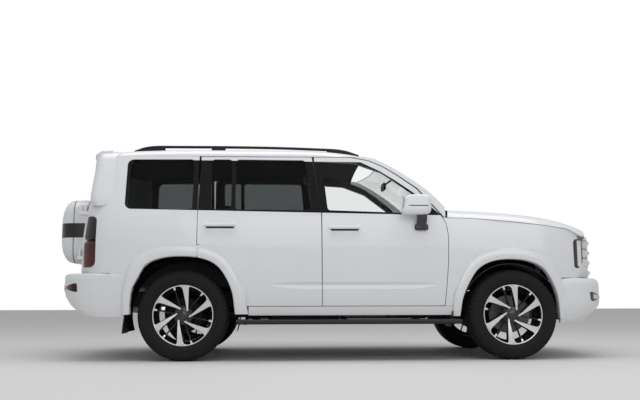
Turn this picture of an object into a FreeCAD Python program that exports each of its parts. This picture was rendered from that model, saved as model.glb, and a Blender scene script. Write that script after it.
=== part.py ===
import FreeCAD, Part
import math
import os
from FreeCAD import Placement, Rotation, Vector

# Large five-door off-road estate: body on a ladder frame, +X forward, +Y left, +Z up.
# The origin is on the ground, midway along the overall length. Sizes are millimetres.

SIZES = {
    # Chassis
    "wheelbase": 2850,
    "front_axle_x": 1570,
    "track_width": 1610,
    "tyre_radius": 387,
    "tyre_width": 265,
    "rim_radius": 262,
    "rail_centre": 400,
    "rail_width": 70,
    "rail_height": 140,
    "rail_bottom": 455,
    # Body shell
    "body_half_width": 957,
    "shoulder_height": 1000,
    "belt_height": 1300,
    "roof_height": 1887,
    "roof_edge_drop": 90,
    "roof_edge_half": 795,
    "sill_bottom": 385,
    "sill_top": 460,
    "panel_gap": 5,
    "panel_thick": 70,
    "skin_thick": 12,
    "roof_thick": 40,
    "glass_thick": 5,
    "glass_inset": 12,
    "seat_gap": 0.3,
    "flare_out": 23,
    "tail_centre_x": -2225,
    "nose_centre_x": 2410,
    "bumper_front_x": 2531,
    "bumper_rear_x": -2310,
    "door_top": 1778,
    "floor_height": 640,
    "floor_thick": 15,
    # Fittings
    "step_top": 385,
    "step_drop": 70,
    "step_thick": 40,
    "rack_top": 1912,
    "rack_bar": 36,
    "rack_half": 610,
    "case_rear_x": -2535,
    "case_depth": 300,
    "case_half": 355,
    "case_bottom": 846,
    "case_height": 625,
}

doc = FreeCAD.newDocument("suv")
sheet = doc.addObject("Spreadsheet::Sheet", "sizes")
for row, (alias, value) in enumerate(SIZES.items(), start=1):
    sheet.set("A%d" % row, alias)
    sheet.set("B%d" % row, str(value))
    sheet.setAlias("B%d" % row, alias)
doc.recompute()

NODES = []


def size(alias):
    """The value of one driving dimension in the sheet."""
    return float(sheet.get(alias))


REAR_AXLE_X = size("front_axle_x") - size("wheelbase")
GAP = size("panel_gap")
SEAT = size("seat_gap")


# Curve and solid helpers


def rounded_wire(corners, to_point):
    """A closed wire through (a, b[, radius]) corners with tangent arcs at the radii."""
    count = len(corners)
    ends = []
    for i in range(count):
        here = Vector(corners[i][0], corners[i][1], 0)
        before = Vector(corners[i - 1][0], corners[i - 1][1], 0)
        after = Vector(corners[(i + 1) % count][0], corners[(i + 1) % count][1], 0)
        radius = corners[i][2] if len(corners[i]) > 2 else 0
        to_before = (before - here).normalize()
        to_after = (after - here).normalize()
        if radius == 0:
            ends.append((here, None, here))
            continue
        half = to_before.getAngle(to_after) / 2
        reach = radius / math.tan(half)
        middle = (to_before + to_after).normalize()
        nearest = here + middle * (radius / math.sin(half) - radius)
        ends.append((here + to_before * reach, nearest, here + to_after * reach))
    edges = []
    for i in range(count):
        start, middle, end = ends[i]
        if middle is not None:
            edges.append(Part.Arc(to_point(start), to_point(middle), to_point(end)).toShape())
        following = ends[(i + 1) % count][0]
        if (following - end).Length > 0.01:
            edges.append(Part.LineSegment(to_point(end), to_point(following)).toShape())
    return Part.Wire(edges)


def side_prism(corners, y_from, y_to):
    """A prism along Y from corners (x, z[, radius])."""
    face = Part.Face(rounded_wire(corners, lambda p: Vector(p.x, y_from, p.y)))
    return face.extrude(Vector(0, y_to - y_from, 0))


def plan_prism(corners, z_from, z_to):
    """A prism along Z from corners (x, y[, radius])."""
    face = Part.Face(rounded_wire(corners, lambda p: Vector(p.x, p.y, z_from)))
    return face.extrude(Vector(0, 0, z_to - z_from))


def cross_prism(corners, x_from, x_to):
    """A prism along X from corners (y, z[, radius])."""
    face = Part.Face(rounded_wire(corners, lambda p: Vector(x_from, p.x, p.y)))
    return face.extrude(Vector(x_to - x_from, 0, 0))


def block(x_from, x_to, y_from, y_to, z_from, z_to):
    """A box between two corners."""
    return Part.makeBox(x_to - x_from, y_to - y_from, z_to - z_from, Vector(x_from, y_from, z_from))


def round_bar(start, end, radius):
    """A round bar between two points."""
    along = Vector(*end) - Vector(*start)
    return Part.makeCylinder(radius, along.Length, Vector(*start), along)


def joined(shapes):
    """One solid from shapes that touch or overlap."""
    return shapes[0].multiFuse(shapes[1:]).removeSplitter()


def group(shapes):
    """Several solids that stay apart in one node."""
    return Part.makeCompound([solid for shape in shapes for solid in shape.Solids])


def mirrored(shape):
    """The left-hand twin of a right-hand shape."""
    return shape.mirror(Vector(0, 0, 0), Vector(0, 1, 0))


def both_sides(shape):
    """A right-hand shape and its twin in one node."""
    return group([shape, mirrored(shape)])


def whole_width(row):
    """A row of points from the right side to the centre line, carried on to the left side."""
    return row + [Vector(p.x, -p.y, p.z) for p in reversed(row[:-1])]


def slab(grid_of, outer, inner):
    """A closed wall between the surfaces through two offset grids of points."""
    surfaces = []
    for depth in (outer, inner):
        surface = Part.BSplineSurface()
        surface.interpolate(grid_of(depth))
        surfaces.append(surface)
    faces = [surface.toShape() for surface in surfaces]
    bounds = [surface.bounds() for surface in surfaces]
    for end in (0, 1):
        faces.append(Part.makeRuledSurface(
            surfaces[0].uIso(bounds[0][end]).toShape(), surfaces[1].uIso(bounds[1][end]).toShape()))
        faces.append(Part.makeRuledSurface(
            surfaces[0].vIso(bounds[0][2 + end]).toShape(),
            surfaces[1].vIso(bounds[1][2 + end]).toShape()))
    shell = Part.makeShell(faces)
    shell.sewShape()
    solid = Part.makeSolid(shell)
    if solid.Volume < 0:
        solid.reverse()
    return solid


def add_node(name, shape, place=Placement()):
    """A sub-part whose form is a free surface, with its own label and place."""
    feature = doc.addObject("Part::Feature", name)
    feature.Label = name
    feature.Shape = shape
    feature.Placement = place
    NODES.append(feature)
    return feature


# Half the floor's width, and its two faces
TUB = 800
floor_z = size("floor_height")
floor_top = floor_z + size("floor_thick")

# Form of the body sides

SIDE_ROWS = (300, 360, 430, 520, 640, 780, 900, 1000, 1100, 1200, 1300, 1400, 1500, 1600, 1700, 1780,
             1860)
TUMBLE = 0.255
SILL_TUCK = 70


def half_width(z):
    """Half the body's width at height z: tucked in at the sill, leaning in above the belt."""
    shoulder = size("shoulder_height")
    belt = size("belt_height")
    if z <= shoulder:
        below = (shoulder - z) / (shoulder - 300)
        return size("body_half_width") - SILL_TUCK * below ** 3
    bend = min(z, belt) - shoulder
    drop = TUMBLE * bend ** 2 / (2 * (belt - shoulder))
    return size("body_half_width") - drop - TUMBLE * max(z - belt, 0)


def tail_x(z):
    """Rear face on the centre line at height z, leaning forward above the belt."""
    belt = size("belt_height")
    lean = 0.13 * max(z - belt, 0) + 0.09 * max(z - 1000, 0)
    tuck = 0.25 * max(700 - z, 0)
    return size("tail_centre_x") + lean + tuck


CORNER_ANGLES = (0, 10, 25, 45, 65, 80, 90)
REAR_CORNER_START = -1500
SIDE_STATIONS = (1260, 1000, 700, 400, 100, -200, -500, -800, -1150)


def front_taper(x):
    """How much the side draws in ahead of the scuttle."""
    return 16 * (max(x - 700, 0) / 560) ** 2


def side_grid(depth):
    """Points of the right side from the front door round the rear corner to the centre line."""
    rows = []
    for z in SIDE_ROWS:
        half = half_width(z)
        row = [Vector(x, -(half - front_taper(x) - depth), z) for x in SIDE_STATIONS]
        length = REAR_CORNER_START - tail_x(z)
        for angle in CORNER_ANGLES:
            across = max(math.cos(math.radians(angle)), 0) ** 0.4
            along = math.sin(math.radians(angle)) ** 0.4
            row.append(Vector(REAR_CORNER_START - (length - depth) * along,
                              -(half - depth) * (across if angle < 90 else 0), z))
        rows.append(row)
    return rows


def tail_grid(depth):
    """Points of the tail from one rear corner round to the other."""
    first = len(SIDE_STATIONS)
    return [whole_width(row[first:]) for row in side_grid(depth)]


NOSE_ROWS = (300, 380, 470, 600, 720, 850, 1000, 1130, 1260)
NOSE_STATIONS = (850, 1000, 1150, 1300)
NOSE_CORNER_START = 1400


def nose_x(z):
    """Front face on the centre line at height z, above the bumper."""
    return size("nose_centre_x") - 0.10 * max(z - 850, 0)


def nose_grid(depth):
    """Points of the right front wing from the door round the front corner to the centre."""
    rows = []
    for z in NOSE_ROWS:
        half = half_width(z)
        row = [Vector(x, -(half - front_taper(x) - depth), z) for x in NOSE_STATIONS]
        corner_half = half - front_taper(NOSE_CORNER_START)
        length = nose_x(z) - NOSE_CORNER_START
        for angle in CORNER_ANGLES:
            across = max(math.cos(math.radians(angle)), 0) ** 0.45
            along = math.sin(math.radians(angle)) ** 0.45
            row.append(Vector(NOSE_CORNER_START + (length - depth) * along,
                              -(corner_half - depth) * (across if angle < 90 else 0), z))
        rows.append(row)
    return rows


# Seams and outlines, seen from the right (x, z)

REAR_DOOR_BACK_X = -1165
B_SEAM = ((-90, 440), (-96, 1273), (-175, 1800))
FRONT_SEAM = ((972, 430), (1005, 827), (1011, 1060), (993, 1177), (950, 1250))
PILLAR_SEAM = ((745, 1492), (580, 1612), (455, 1692), (330, 1748), (162, 1778))
REAR_ARCH_OUTER = ((-1760, 690), (-1610, 985, 150), (-998, 985, 150), (-740, 600, 60), (-750, 430))
REAR_ARCH_INNER = ((-1727, 480), (-1713, 610, 80), (-1560, 895, 130), (-1040, 895, 110),
                   (-845, 620, 100), (-826, 389))
FRONT_ARCH_OUTER = ((1046, 430), (1056, 575, 80), (1278, 952, 120), (1872, 952, 150),
                    (2068, 560, 80), (2069, 366))
FRONT_ARCH_INNER = ((1099, 375), (1120, 560, 100), (1305, 872, 120), (1802, 868, 120),
                    (1975, 600, 100), (2000, 352))
WINDOW_BOTTOM = 1292
WINDOW_TOP = 1754
HOOD_SEAM = ((935, 1262), (978, 1228), (1234, 1223), (1583, 1195), (1891, 1161), (2098, 1131),
             (2185, 1085))


def moved(points, dx, dz=0.0):
    """The same points shifted."""
    return [(p[0] + dx, p[1] + dz) + tuple(p[2:]) for p in points]


def arch_cutter(corners, below=200):
    """A prism that opens a wheel arch down through the bottom of the body."""
    first, last = corners[0], corners[-1]
    return side_prism([(first[0], below)] + list(corners) + [(last[0], below)], -1100, -500)


# The side wall, cut into its panels
side_wall = slab(side_grid, 0, size("panel_thick"))
nose_wall = slab(nose_grid, 0, size("panel_thick"))
rear_arch = arch_cutter(REAR_ARCH_INNER)
front_arch = arch_cutter(FRONT_ARCH_INNER)
OUT = -1100
MID = 0
PILLAR_GAP = 8


def window_outline(corners, shrink=0.0):
    """A window's corners drawn in towards its middle by a seating gap."""
    xs = [c[0] for c in corners]
    zs = [c[1] for c in corners]
    mid_x = (min(xs) + max(xs)) / 2
    mid_z = (min(zs) + max(zs)) / 2
    scale_x = 1 - 2 * shrink / (max(xs) - min(xs))
    scale_z = 1 - 2 * shrink / (max(zs) - min(zs))
    return [(mid_x + (c[0] - mid_x) * scale_x, mid_z + (c[1] - mid_z) * scale_z) + tuple(c[2:])
            for c in corners]


FRONT_WINDOW = ((-40, WINDOW_BOTTOM, 30), (870, 1262, 20), (700, 1462, 60), (450, 1640, 120),
                (220, 1722, 120), (-88, WINDOW_TOP - 12, 30))
REAR_WINDOW = ((-845, WINDOW_BOTTOM + 4, 30), (-185, WINDOW_BOTTOM, 30), (-235, WINDOW_TOP - 4, 30),
               (-845, WINDOW_TOP, 30))
FIXED_PANE = ((-1055, WINDOW_BOTTOM + 6, 25), (-880, WINDOW_BOTTOM + 5, 25), (-880, WINDOW_TOP, 25),
              (-1055, WINDOW_TOP, 25))
QUARTER_WINDOW = ((-1780, 1305, 55), (-1215, 1298, 25), (-1215, WINDOW_TOP, 25),
                  (-1760, WINDOW_TOP - 4, 60))
DIVIDER_X = -862


# How much further back each door's frame stands from its closing seam than its skin
FRAME_SET_BACK = 20
SKIN_DEPTH = 14
# Extra seam width at the top of each door's closing edge, which leans in and swings wide
TOP_RELIEF = 13


def front_door_outline(set_back):
    """The front door between the pillar seam, the wing and the sill."""
    half_gap = GAP / 2
    back = [(x + half_gap + set_back, z) for x, z in B_SEAM]
    front = [(x - half_gap, z) for x, z in FRONT_SEAM]
    top = size("door_top")
    sill = size("sill_top") + GAP
    outline = [(-87.5 + set_back, sill), (back[1][0] + 3, back[1][1])] + [(-171 + TOP_RELIEF + set_back, top)]
    outline += [(162, top), (330, 1746), (455, 1690), (580, 1610), (745, 1490), (940, 1262)]
    outline += list(reversed(front[1:-1])) + [(972, sill)]
    return outline


def rear_door_outline(set_back):
    """The rear door, its lower corner cut away round the wheel arch."""
    half_gap = GAP / 2
    back = [(x - half_gap, z) for x, z in B_SEAM]
    rear_x = REAR_DOOR_BACK_X + set_back
    top = size("door_top")
    sill = size("sill_top") + GAP
    outline = [(-92.5, sill)] + back[1:-1] + [(-176.5, top)]
    outline += [(rear_x + TOP_RELIEF, top), (rear_x, WINDOW_BOTTOM), (rear_x, 900), (-740, 900), (-740, sill)]
    return outline


def door_wall(outline_of):
    """A door's skin with its frame standing back from the closing seam behind it."""
    skin = slab(side_grid, 0, SKIN_DEPTH).common(side_prism(outline_of(0), OUT, MID))
    frame = slab(side_grid, SKIN_DEPTH, size("panel_thick"))
    frame = frame.common(side_prism(outline_of(FRAME_SET_BACK), OUT, MID))
    return skin, frame


arch_gap = arch_cutter(moved(REAR_ARCH_OUTER, GAP, GAP))
arch_set_back = arch_cutter(moved(REAR_ARCH_OUTER, GAP + FRAME_SET_BACK, GAP + 8))


def door_crease(shape):
    """Press the sloping lower feature line into a door."""
    half = half_width(650)
    sections = []
    for x, depth in ((-560, 0.4), (-300, 11), (700, 11), (975, 0.4)):
        sections.append(Part.makePolygon([Vector(x, -half - 12, 689), Vector(x, -half + depth, 646),
                                          Vector(x, -half - 12, 540), Vector(x, -half - 12, 689)]))
    return shape.cut(Part.makeLoft(sections, True, True))


skin, frame = door_wall(front_door_outline)
front_door_wall = door_crease(skin.fuse(frame)).cut(side_prism(FRONT_WINDOW, OUT, MID))
skin, frame = door_wall(rear_door_outline)
rear_door_wall = door_crease(skin.cut(arch_gap).fuse(frame.cut(arch_set_back)))
rear_door_wall = rear_door_wall.cut(side_prism(REAR_WINDOW, OUT, MID))
rear_door_wall = rear_door_wall.cut(side_prism(FIXED_PANE, OUT, MID))


def handle(x_back, z_low):
    """A pull bar on its two feet, over the door skin."""
    length = 262
    bar_height = 30
    x_front = x_back + length
    y_skin = -half_width(z_low)
    bar = block(x_back, x_front, y_skin - 42, y_skin - 22, z_low, z_low + bar_height)
    bar = bar.makeFillet(9, [e for e in bar.Edges if e.Length > length - 1])
    feet = [block(x, x + 34, y_skin - 30, y_skin + 20, z_low + 3, z_low + bar_height - 3)
            for x in (x_back + 4, x_front - 38)]
    return [bar] + feet


def hinge_straps(x_from, x_to):
    """Door straps that reach in to the pillar behind them."""
    wall = slab(side_grid, size("panel_thick") - 5, size("panel_thick") + PILLAR_GAP - SEAT)
    return [wall.common(block(x_from, x_to, -1000, -700, z, z + 60)) for z in (640, 1020)]


front_door = joined([front_door_wall] + handle(-27, 1123) + hinge_straps(940, 982))
rear_door = joined([rear_door_wall] + handle(-1102, 1143) + hinge_straps(-140, -100))
add_node("door_front_right", front_door)
add_node("door_front_left", mirrored(front_door))
add_node("door_rear_right", rear_door)
add_node("door_rear_left", mirrored(rear_door))

# Window glass, set back in its frame
glass_wall = slab(side_grid, size("glass_inset"), size("glass_inset") + size("glass_thick"))


def pane(outline):
    """A pane that fits its window with the seating gap all round."""
    return glass_wall.common(side_prism(window_outline(outline, SEAT), OUT, MID))


front_pane = pane(FRONT_WINDOW)
rear_panes = group([pane(REAR_WINDOW), pane(FIXED_PANE)])
add_node("glass_front_right", front_pane)
add_node("glass_front_left", mirrored(front_pane))
add_node("glass_rear_right", rear_panes)
add_node("glass_rear_left", mirrored(rear_panes))

# Rear quarter panels with the wheel flares
TAILGATE_HALF = 735
QUARTER_FRONT_X = REAR_DOOR_BACK_X - GAP
BUMPER_TOP = 745
quarter_outline = [(QUARTER_FRONT_X, size("door_top") + GAP), (QUARTER_FRONT_X, 930),
                   (-1500, 930), (-1735, 700), (-1735, size("sill_bottom") + 10),
                   (-1900, size("sill_bottom") + 10), (-1900, BUMPER_TOP),
                   (-2400, BUMPER_TOP), (-2400, size("door_top") + GAP)]
quarter = side_wall.common(side_prism(quarter_outline, OUT, -(TAILGATE_HALF + GAP)))
flare_wall = slab(side_grid, -size("flare_out"), size("panel_thick") - 15)
rear_flare = flare_wall.common(side_prism(
    [(-1760, 400)] + list(REAR_ARCH_OUTER) + [(-750, 400)], OUT, -500))
quarter = quarter.fuse(rear_flare)
quarter = quarter.cut(rear_arch).cut(side_prism(QUARTER_WINDOW, OUT, MID))
LAMP = ((-1990, 800, 30), (-1990, 1240, 60), (-2600, 1240), (-2600, 800))
LAMP_INNER = 800
lamp_prism = side_prism(LAMP, OUT, -LAMP_INNER)
quarter = quarter.cut(lamp_prism).removeSplitter()
print("quarter solids", len(quarter.Solids), quarter.isValid())
quarter_left = mirrored(quarter)
lamp_prism_tight = side_prism([(-1990 - SEAT, 800 + SEAT, 30), (-1990 - SEAT, 1240 - SEAT, 60),
                               (-2600, 1240 - SEAT), (-2600, 800 + SEAT)], OUT,
                              -LAMP_INNER - SEAT)
taillight = slab(side_grid, -6, size("panel_thick") - 10).common(lamp_prism_tight)
add_node("taillights", both_sides(taillight))
quarter_pane = pane(QUARTER_WINDOW)

# Tailgate, hung at the right and carrying the spare wheel
gate_low = BUMPER_TOP + GAP + 3
gate_top = size("door_top") - 3


def gate_outline(set_back):
    """The tailgate seen from behind, its free edge at the left relieved for its swing."""
    free = TAILGATE_HALF - 2 - set_back
    return [(-TAILGATE_HALF, gate_low), (free, gate_low), (free, WINDOW_BOTTOM),
            (free - 7, gate_top), (-TAILGATE_HALF, gate_top)]


tail_wall = slab(tail_grid, 0, SKIN_DEPTH).common(cross_prism(gate_outline(0), -2400, -1900))
tail_wall = tail_wall.fuse(slab(tail_grid, SKIN_DEPTH, size("panel_thick")).common(
    cross_prism(gate_outline(16), -2400, -1900)))
TAIL_WINDOW = ((-600, 1330, 60), (600, 1330, 60), (560, 1690, 60), (-560, 1690, 60))
HINGE_X = -2205
HINGE_Y = -752
HINGE_HEIGHTS = (900, 1290)
HINGE_PIN = 10
barrels = []
hinge_lugs = []
for z in HINGE_HEIGHTS:
    barrels.append(Part.makeCylinder(HINGE_PIN, 60, Vector(HINGE_X, HINGE_Y, z)))
    barrels.append(block(HINGE_X - HINGE_PIN, HINGE_X, HINGE_Y, -700, z, z + 60))
    barrels.append(block(HINGE_X - HINGE_PIN, tail_x(z) + 40, -(TAILGATE_HALF - 3), -670, z, z + 60))
    hinge_lugs.append(block(HINGE_X - HINGE_PIN, HINGE_X + 90, HINGE_Y - 40, HINGE_Y + 8, z - 30, z - SEAT))
tailgate = joined([tail_wall.cut(cross_prism(TAIL_WINDOW, -2500, -1900))] + barrels)
add_node("tailgate", tailgate)
quarter_right = joined([quarter] + hinge_lugs)
add_node("quarter_panels", group([quarter_right, quarter_left]))
tail_glass = slab(tail_grid, size("glass_inset"), size("glass_inset") + size("glass_thick"))
tail_glass = tail_glass.common(cross_prism(window_outline(TAIL_WINDOW, SEAT), -2500, -1900))
add_node("tailgate_glass", tail_glass)

# Spare wheel case: a square box with round corners, a joint ring and a step at the back
case_front_x = size("case_rear_x") + size("case_depth")
case_low = size("case_bottom")
case_high = case_low + size("case_height")
CASE_ROUND = 170


def case_ring(half, low, high, radius, x_from, x_to):
    """A square slice of the case with round corners."""
    corners = [(-half, low, radius), (half, low, radius), (half, high, radius), (-half, high, radius)]
    return cross_prism(corners, x_from, x_to)


case_half = size("case_half")
CASE_STEP = 65
case_base = case_ring(case_half, case_low, case_high, CASE_ROUND,
                      size("case_rear_x") + CASE_STEP, case_front_x)
case_cover = case_ring(case_half - 20, case_low + 20, case_high - 20, CASE_ROUND - 20,
                       size("case_rear_x"), size("case_rear_x") + CASE_STEP)
cover_edges = [e for e in case_cover.Edges if e.BoundBox.XMax < size("case_rear_x") + 1]
case_cover = case_cover.makeFillet(40, cover_edges)
spare_case = joined([case_base, case_cover])
mount_pad = block(case_front_x, tail_x(1100) + 60, -160, 160, 1010, 1250)
spare_case = joined([spare_case, mount_pad]).cut(tail_wall)
spare_case = Part.makeCompound([max(spare_case.Solids, key=lambda s: s.Volume)])
add_node("spare_case", spare_case.Solids[0])

# Front wings
wing_zone = [(977, size("sill_top") + 2)] + [(x + GAP / 2, z) for x, z in FRONT_SEAM[1:-1]]
wing_zone += [(964, 1236)] + [(x, z - GAP / 2) for x, z in HOOD_SEAM[1:]]
wing_zone += [(2185, 1040), (2150, 705), (1850, 705), (1850, 600), (1200, 600),
              (1050, size("sill_top") + 2)]
wing = nose_wall.common(side_prism(wing_zone, OUT, -600))
front_flare_wall = slab(nose_grid, -size("flare_out"), size("panel_thick") - 15)
front_flare = front_flare_wall.common(side_prism(
    [(1046, 400)] + list(FRONT_ARCH_OUTER) + [(2069, 360)], OUT, -500))
wing = wing.fuse(front_flare).cut(front_arch)
LAMP_BACK_X = 2130
lamp_zone = side_prism([(LAMP_BACK_X, 790, 30), (LAMP_BACK_X + 10, 1050, 40), (2600, 1050),
                        (2600, 790)], OUT, MID)
wing = wing.cut(lamp_zone).removeSplitter()
wing = max(wing.Solids, key=lambda s: s.Volume)
print("wing", wing.isValid())
add_node("wings", both_sides(wing))

# Headlamps at the corners, then the grille between them
headlight_wall = slab(nose_grid, -4, 110)
HEADLIGHT_INNER = 620
headlight = headlight_wall.common(side_prism(
    [(LAMP_BACK_X + SEAT, 795, 30), (LAMP_BACK_X + 10 + SEAT, 1045, 40), (2600, 1045),
     (2600, 795)], OUT, -HEADLIGHT_INNER))
add_node("headlights", both_sides(headlight))


def front_grid(depth):
    """Points of the nose from one front corner round to the other."""
    return [whole_width(row[len(NOSE_STATIONS):]) for row in nose_grid(depth)]


GRILLE_HALF = HEADLIGHT_INNER - SEAT
grille_parts = [slab(front_grid, 25, 60).common(block(2000, 2600, -GRILLE_HALF, GRILLE_HALF, 712, 1100))]
grille_face = slab(front_grid, 0, 40)
for index in range(-5, 6):
    y = 105 * index
    grille_parts.append(grille_face.common(block(2000, 2600, y - 16, y + 16, 720, 1090)))
add_node("grille", joined(grille_parts))

# Front bumper: proud of the grille, with a dark lower lip
BUMPER_CORNER_START = 2000


def bumper_grid(depth):
    """Points of the right half of the front bumper from the arch to the centre line."""
    rows = []
    profile = ((330, 95, 70), (400, 45, 30), (470, 15, 8), (540, 0, 0), (640, 0, 0), (700, 30, 22))
    for z, back, tuck in profile:
        half = half_width(540) - front_taper(1400) - tuck
        length = size("bumper_front_x") - back - BUMPER_CORNER_START
        row = []
        for angle in CORNER_ANGLES:
            across = max(math.cos(math.radians(angle)), 0) ** 0.55
            along = math.sin(math.radians(angle)) ** 0.55
            row.append(Vector(BUMPER_CORNER_START + (length - depth) * along,
                              -(half - depth) * (across if angle < 90 else 0), z))
        rows.append(whole_width(row))
    return rows


bumper_shell = slab(bumper_grid, 0, 60)
front_bumper = bumper_shell.cut(block(1990, 2075, -1100, 1100, 300, 720))
add_node("front_bumper", front_bumper)

# Rear bumper with its wrap-round ends
REAR_BUMPER_START = -1900


def rear_bumper_grid(depth):
    """Points of the right half of the rear bumper from the arch to the centre line."""
    rows = []
    profile = ((400, 90, 40), (450, 50, 18), (520, 10, 4), (600, 0, 0), (690, 2, 2), (742, 12, 6))
    for z, back, tuck in profile:
        half = half_width(620) - tuck
        length = REAR_BUMPER_START - (size("bumper_rear_x") + back)
        row = []
        for angle in CORNER_ANGLES:
            across = max(math.cos(math.radians(angle)), 0) ** 0.45
            along = math.sin(math.radians(angle)) ** 0.45
            row.append(Vector(REAR_BUMPER_START - (length - depth) * along,
                              -(half - depth) * (across if angle < 90 else 0), z))
        rows.append(whole_width(row))
    return rows


rear_bumper = slab(rear_bumper_grid, 0, 60)
add_node("rear_bumper", rear_bumper)

# Hood: a shell that wraps down over the wings
HOOD_BACK_X = 1010
HOOD_FRONT_X = 2245


HOOD_BOW_BACK = 105
HOOD_BOW_FRONT = 130
HOOD_RUNS = (0, 0.2, 0.45, 0.65, 0.8, 0.9, 0.96, 1)


def hood_crown(run):
    """Height of the hood on the centre line, run going from 0 at the scuttle to 1 at the nose."""
    return 1335 - 62 * run - 118 * run ** 4


def hood_grid(depth):
    """Points across the hood, row by row from the scuttle to the nose."""
    rows = []
    for run in HOOD_RUNS:
        edge = half_width(1200) - 22 - 75 * max((run - 0.5) / 0.5, 0) ** 3
        row = []
        for share, drop in ((1.0, -112), (0.988, -82), (0.95, -52), (0.88, -30), (0.70, -13),
                            (0.35, -3), (0, 0)):
            back = HOOD_BACK_X + HOOD_BOW_BACK * (1 - share ** 2)
            front = HOOD_FRONT_X + HOOD_BOW_FRONT * (1 - share ** 2)
            inward = depth if share > 0.94 else 0
            down = depth if share < 0.96 else 0.2 * depth
            row.append(Vector(back + (front - back) * run, -max(edge * share - inward, 0),
                              hood_crown(run) + drop - down))
        rows.append(whole_width(row))
    return rows


hood_shell = slab(hood_grid, 0, 22)
hood_keep = side_prism([(HOOD_BACK_X, 1400)] + [(HOOD_BACK_X, 1228)]
                       + [(x, z + GAP / 2) for x, z in HOOD_SEAM[2:-1]]
                       + [(2400, 1090), (2400, 1400)], -1100, 1100)
hood = hood_shell.common(hood_keep)
print("hood", hood.isValid(), len(hood.Solids))
hood = max(hood.Solids, key=lambda s: s.Volume)
hood_lugs = [block(1110, 1150, y - 20, y + 20, 1250, 1310).cut(slab(hood_grid, -60, 8)) for y in (-600, 600)]
hood = joined([hood] + hood_lugs)
add_node("hood", hood)

# Roof with its rolled edges
ROOF_BACK_X = -2110
ROOF_FRONT_X = 300


def roof_crown(x):
    """Height of the roof on the centre line, falling to the windscreen and the tailgate."""
    top = size("roof_height")
    fall_front = 58 * (max(x + 500, 0) / 800) ** 3
    fall_back = 38 * (max(-1200 - x, 0) / 900) ** 2
    return top - fall_front - fall_back


def roof_grid(depth):
    """Points across the roof, row by row from the tailgate to the windscreen."""
    rows = []
    for x in (ROOF_BACK_X, -1900, -1600, -1200, -800, -400, 0, 180, ROOF_FRONT_X):
        crown = roof_crown(x)
        shape = ((1.0, 1.0), (0.965, 0.62), (0.89, 0.38), (0.72, 0.19), (0.38, 0.05), (0, 0))
        row = [Vector(x, -size("roof_edge_half") * across,
                      crown - size("roof_edge_drop") * drop - depth) for across, drop in shape]
        rows.append(whole_width(row))
    return rows


roof = slab(roof_grid, 0, size("roof_thick"))
ROOF_SEAT = size("door_top") + GAP
roof = roof.cut(block(-2300, 600, -1000, 1000, 1600, ROOF_SEAT))
print("roof", roof.isValid(), len(roof.Solids))
add_node("roof", roof)

# Sills under the doors
sill_wall = slab(side_grid, 0, 140)
sill = sill_wall.common(block(-722, 1044, -1000, -700, size("sill_bottom"), size("sill_top")))
sill_inner = block(-722, 1044, -840, -TUB, size("sill_bottom"), floor_top)
sill = joined([sill, sill_inner])
add_node("sills", both_sides(sill))

# Windscreen pillars and centre pillars
pillar_outline = [(967, 1262), (770, 1482)] + [(603, 1604), (472, 1688), (340, 1748), (172, ROOF_SEAT - 2)]
windscreen_edge = [(300, 1800), (383, 1772), (554, 1681), (735, 1561), (844, 1476), (930, 1391),
                   (990, 1322), (992, 1262)]
a_pillar = side_wall.common(side_prism(
    [(956, 1262), (757, 1496), (590, 1617), (460, 1698), (333, 1754), (172, ROOF_SEAT - 0.2),
     (300, ROOF_SEAT - 0.2)] + windscreen_edge[1:], OUT, MID))
b_pillar_wall = slab(side_grid, size("panel_thick") + PILLAR_GAP, size("panel_thick") + 60)
b_pillar = b_pillar_wall.common(side_prism(
    [(-175, size("sill_top")), (-30, size("sill_top")), (-40, 1053), (-115, 1300), (-140, 1830),
     (-215, 1830), (-160, 1053)], OUT, MID)).cut(sill_inner)
b_pillar = max(b_pillar.cut(roof).Solids, key=lambda s: s.CenterOfMass.z < 1700)
hinge_post = b_pillar_wall.common(side_prism(
    [(945, size("sill_top")), (1044, size("sill_top")), (1044, 1215), (990, 1262), (962, 1262)],
    OUT, MID)).cut(sill_inner)
post_cap = side_wall.common(side_prism([(968, 1240), (990, 1240), (992, 1262), (960, 1262)], OUT, MID))
post_link = slab(side_grid, 60, 90).common(side_prism(
    [(968, 1240), (990, 1240), (992, 1262), (960, 1262)], OUT, MID))
a_pillar = joined([a_pillar, hinge_post, post_cap, post_link])
add_node("pillars", group([a_pillar, mirrored(a_pillar), b_pillar, mirrored(b_pillar)]))

# Windscreen
SCREEN_ROWS = ((1250, 1050, 45, 38), (1292, 1012, 25, 21), (1391, 930, 0, 0), (1476, 844, 0, 0),
               (1561, 735, 0, 0), (1640, 620, 0, 0), (1715, 485, 0, 0), (1775, 372, 0, 0))
SCREEN_BULGE = 95


def screen_grid(depth):
    """Points of the windscreen, bowed forward across, its foot rising towards the pillars."""
    rows = []
    for z, x_edge, rise, step_back in SCREEN_ROWS:
        row = []
        for share in (1, 0.85, 0.6, 0.3, 0, -0.3, -0.6, -0.85, -1):
            x = x_edge - step_back * share ** 2
            level = z + rise * share ** 2
            half = half_width(level) - front_taper(x) - size("panel_thick") - 0.8
            row.append(Vector(x + SCREEN_BULGE * (1 - share ** 2) - depth, -half * share, level))
        rows.append(row)
    return rows


windscreen = slab(screen_grid, 0, 8)
add_node("fixed_glass", group([windscreen, quarter_pane, mirrored(quarter_pane)]))

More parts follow.
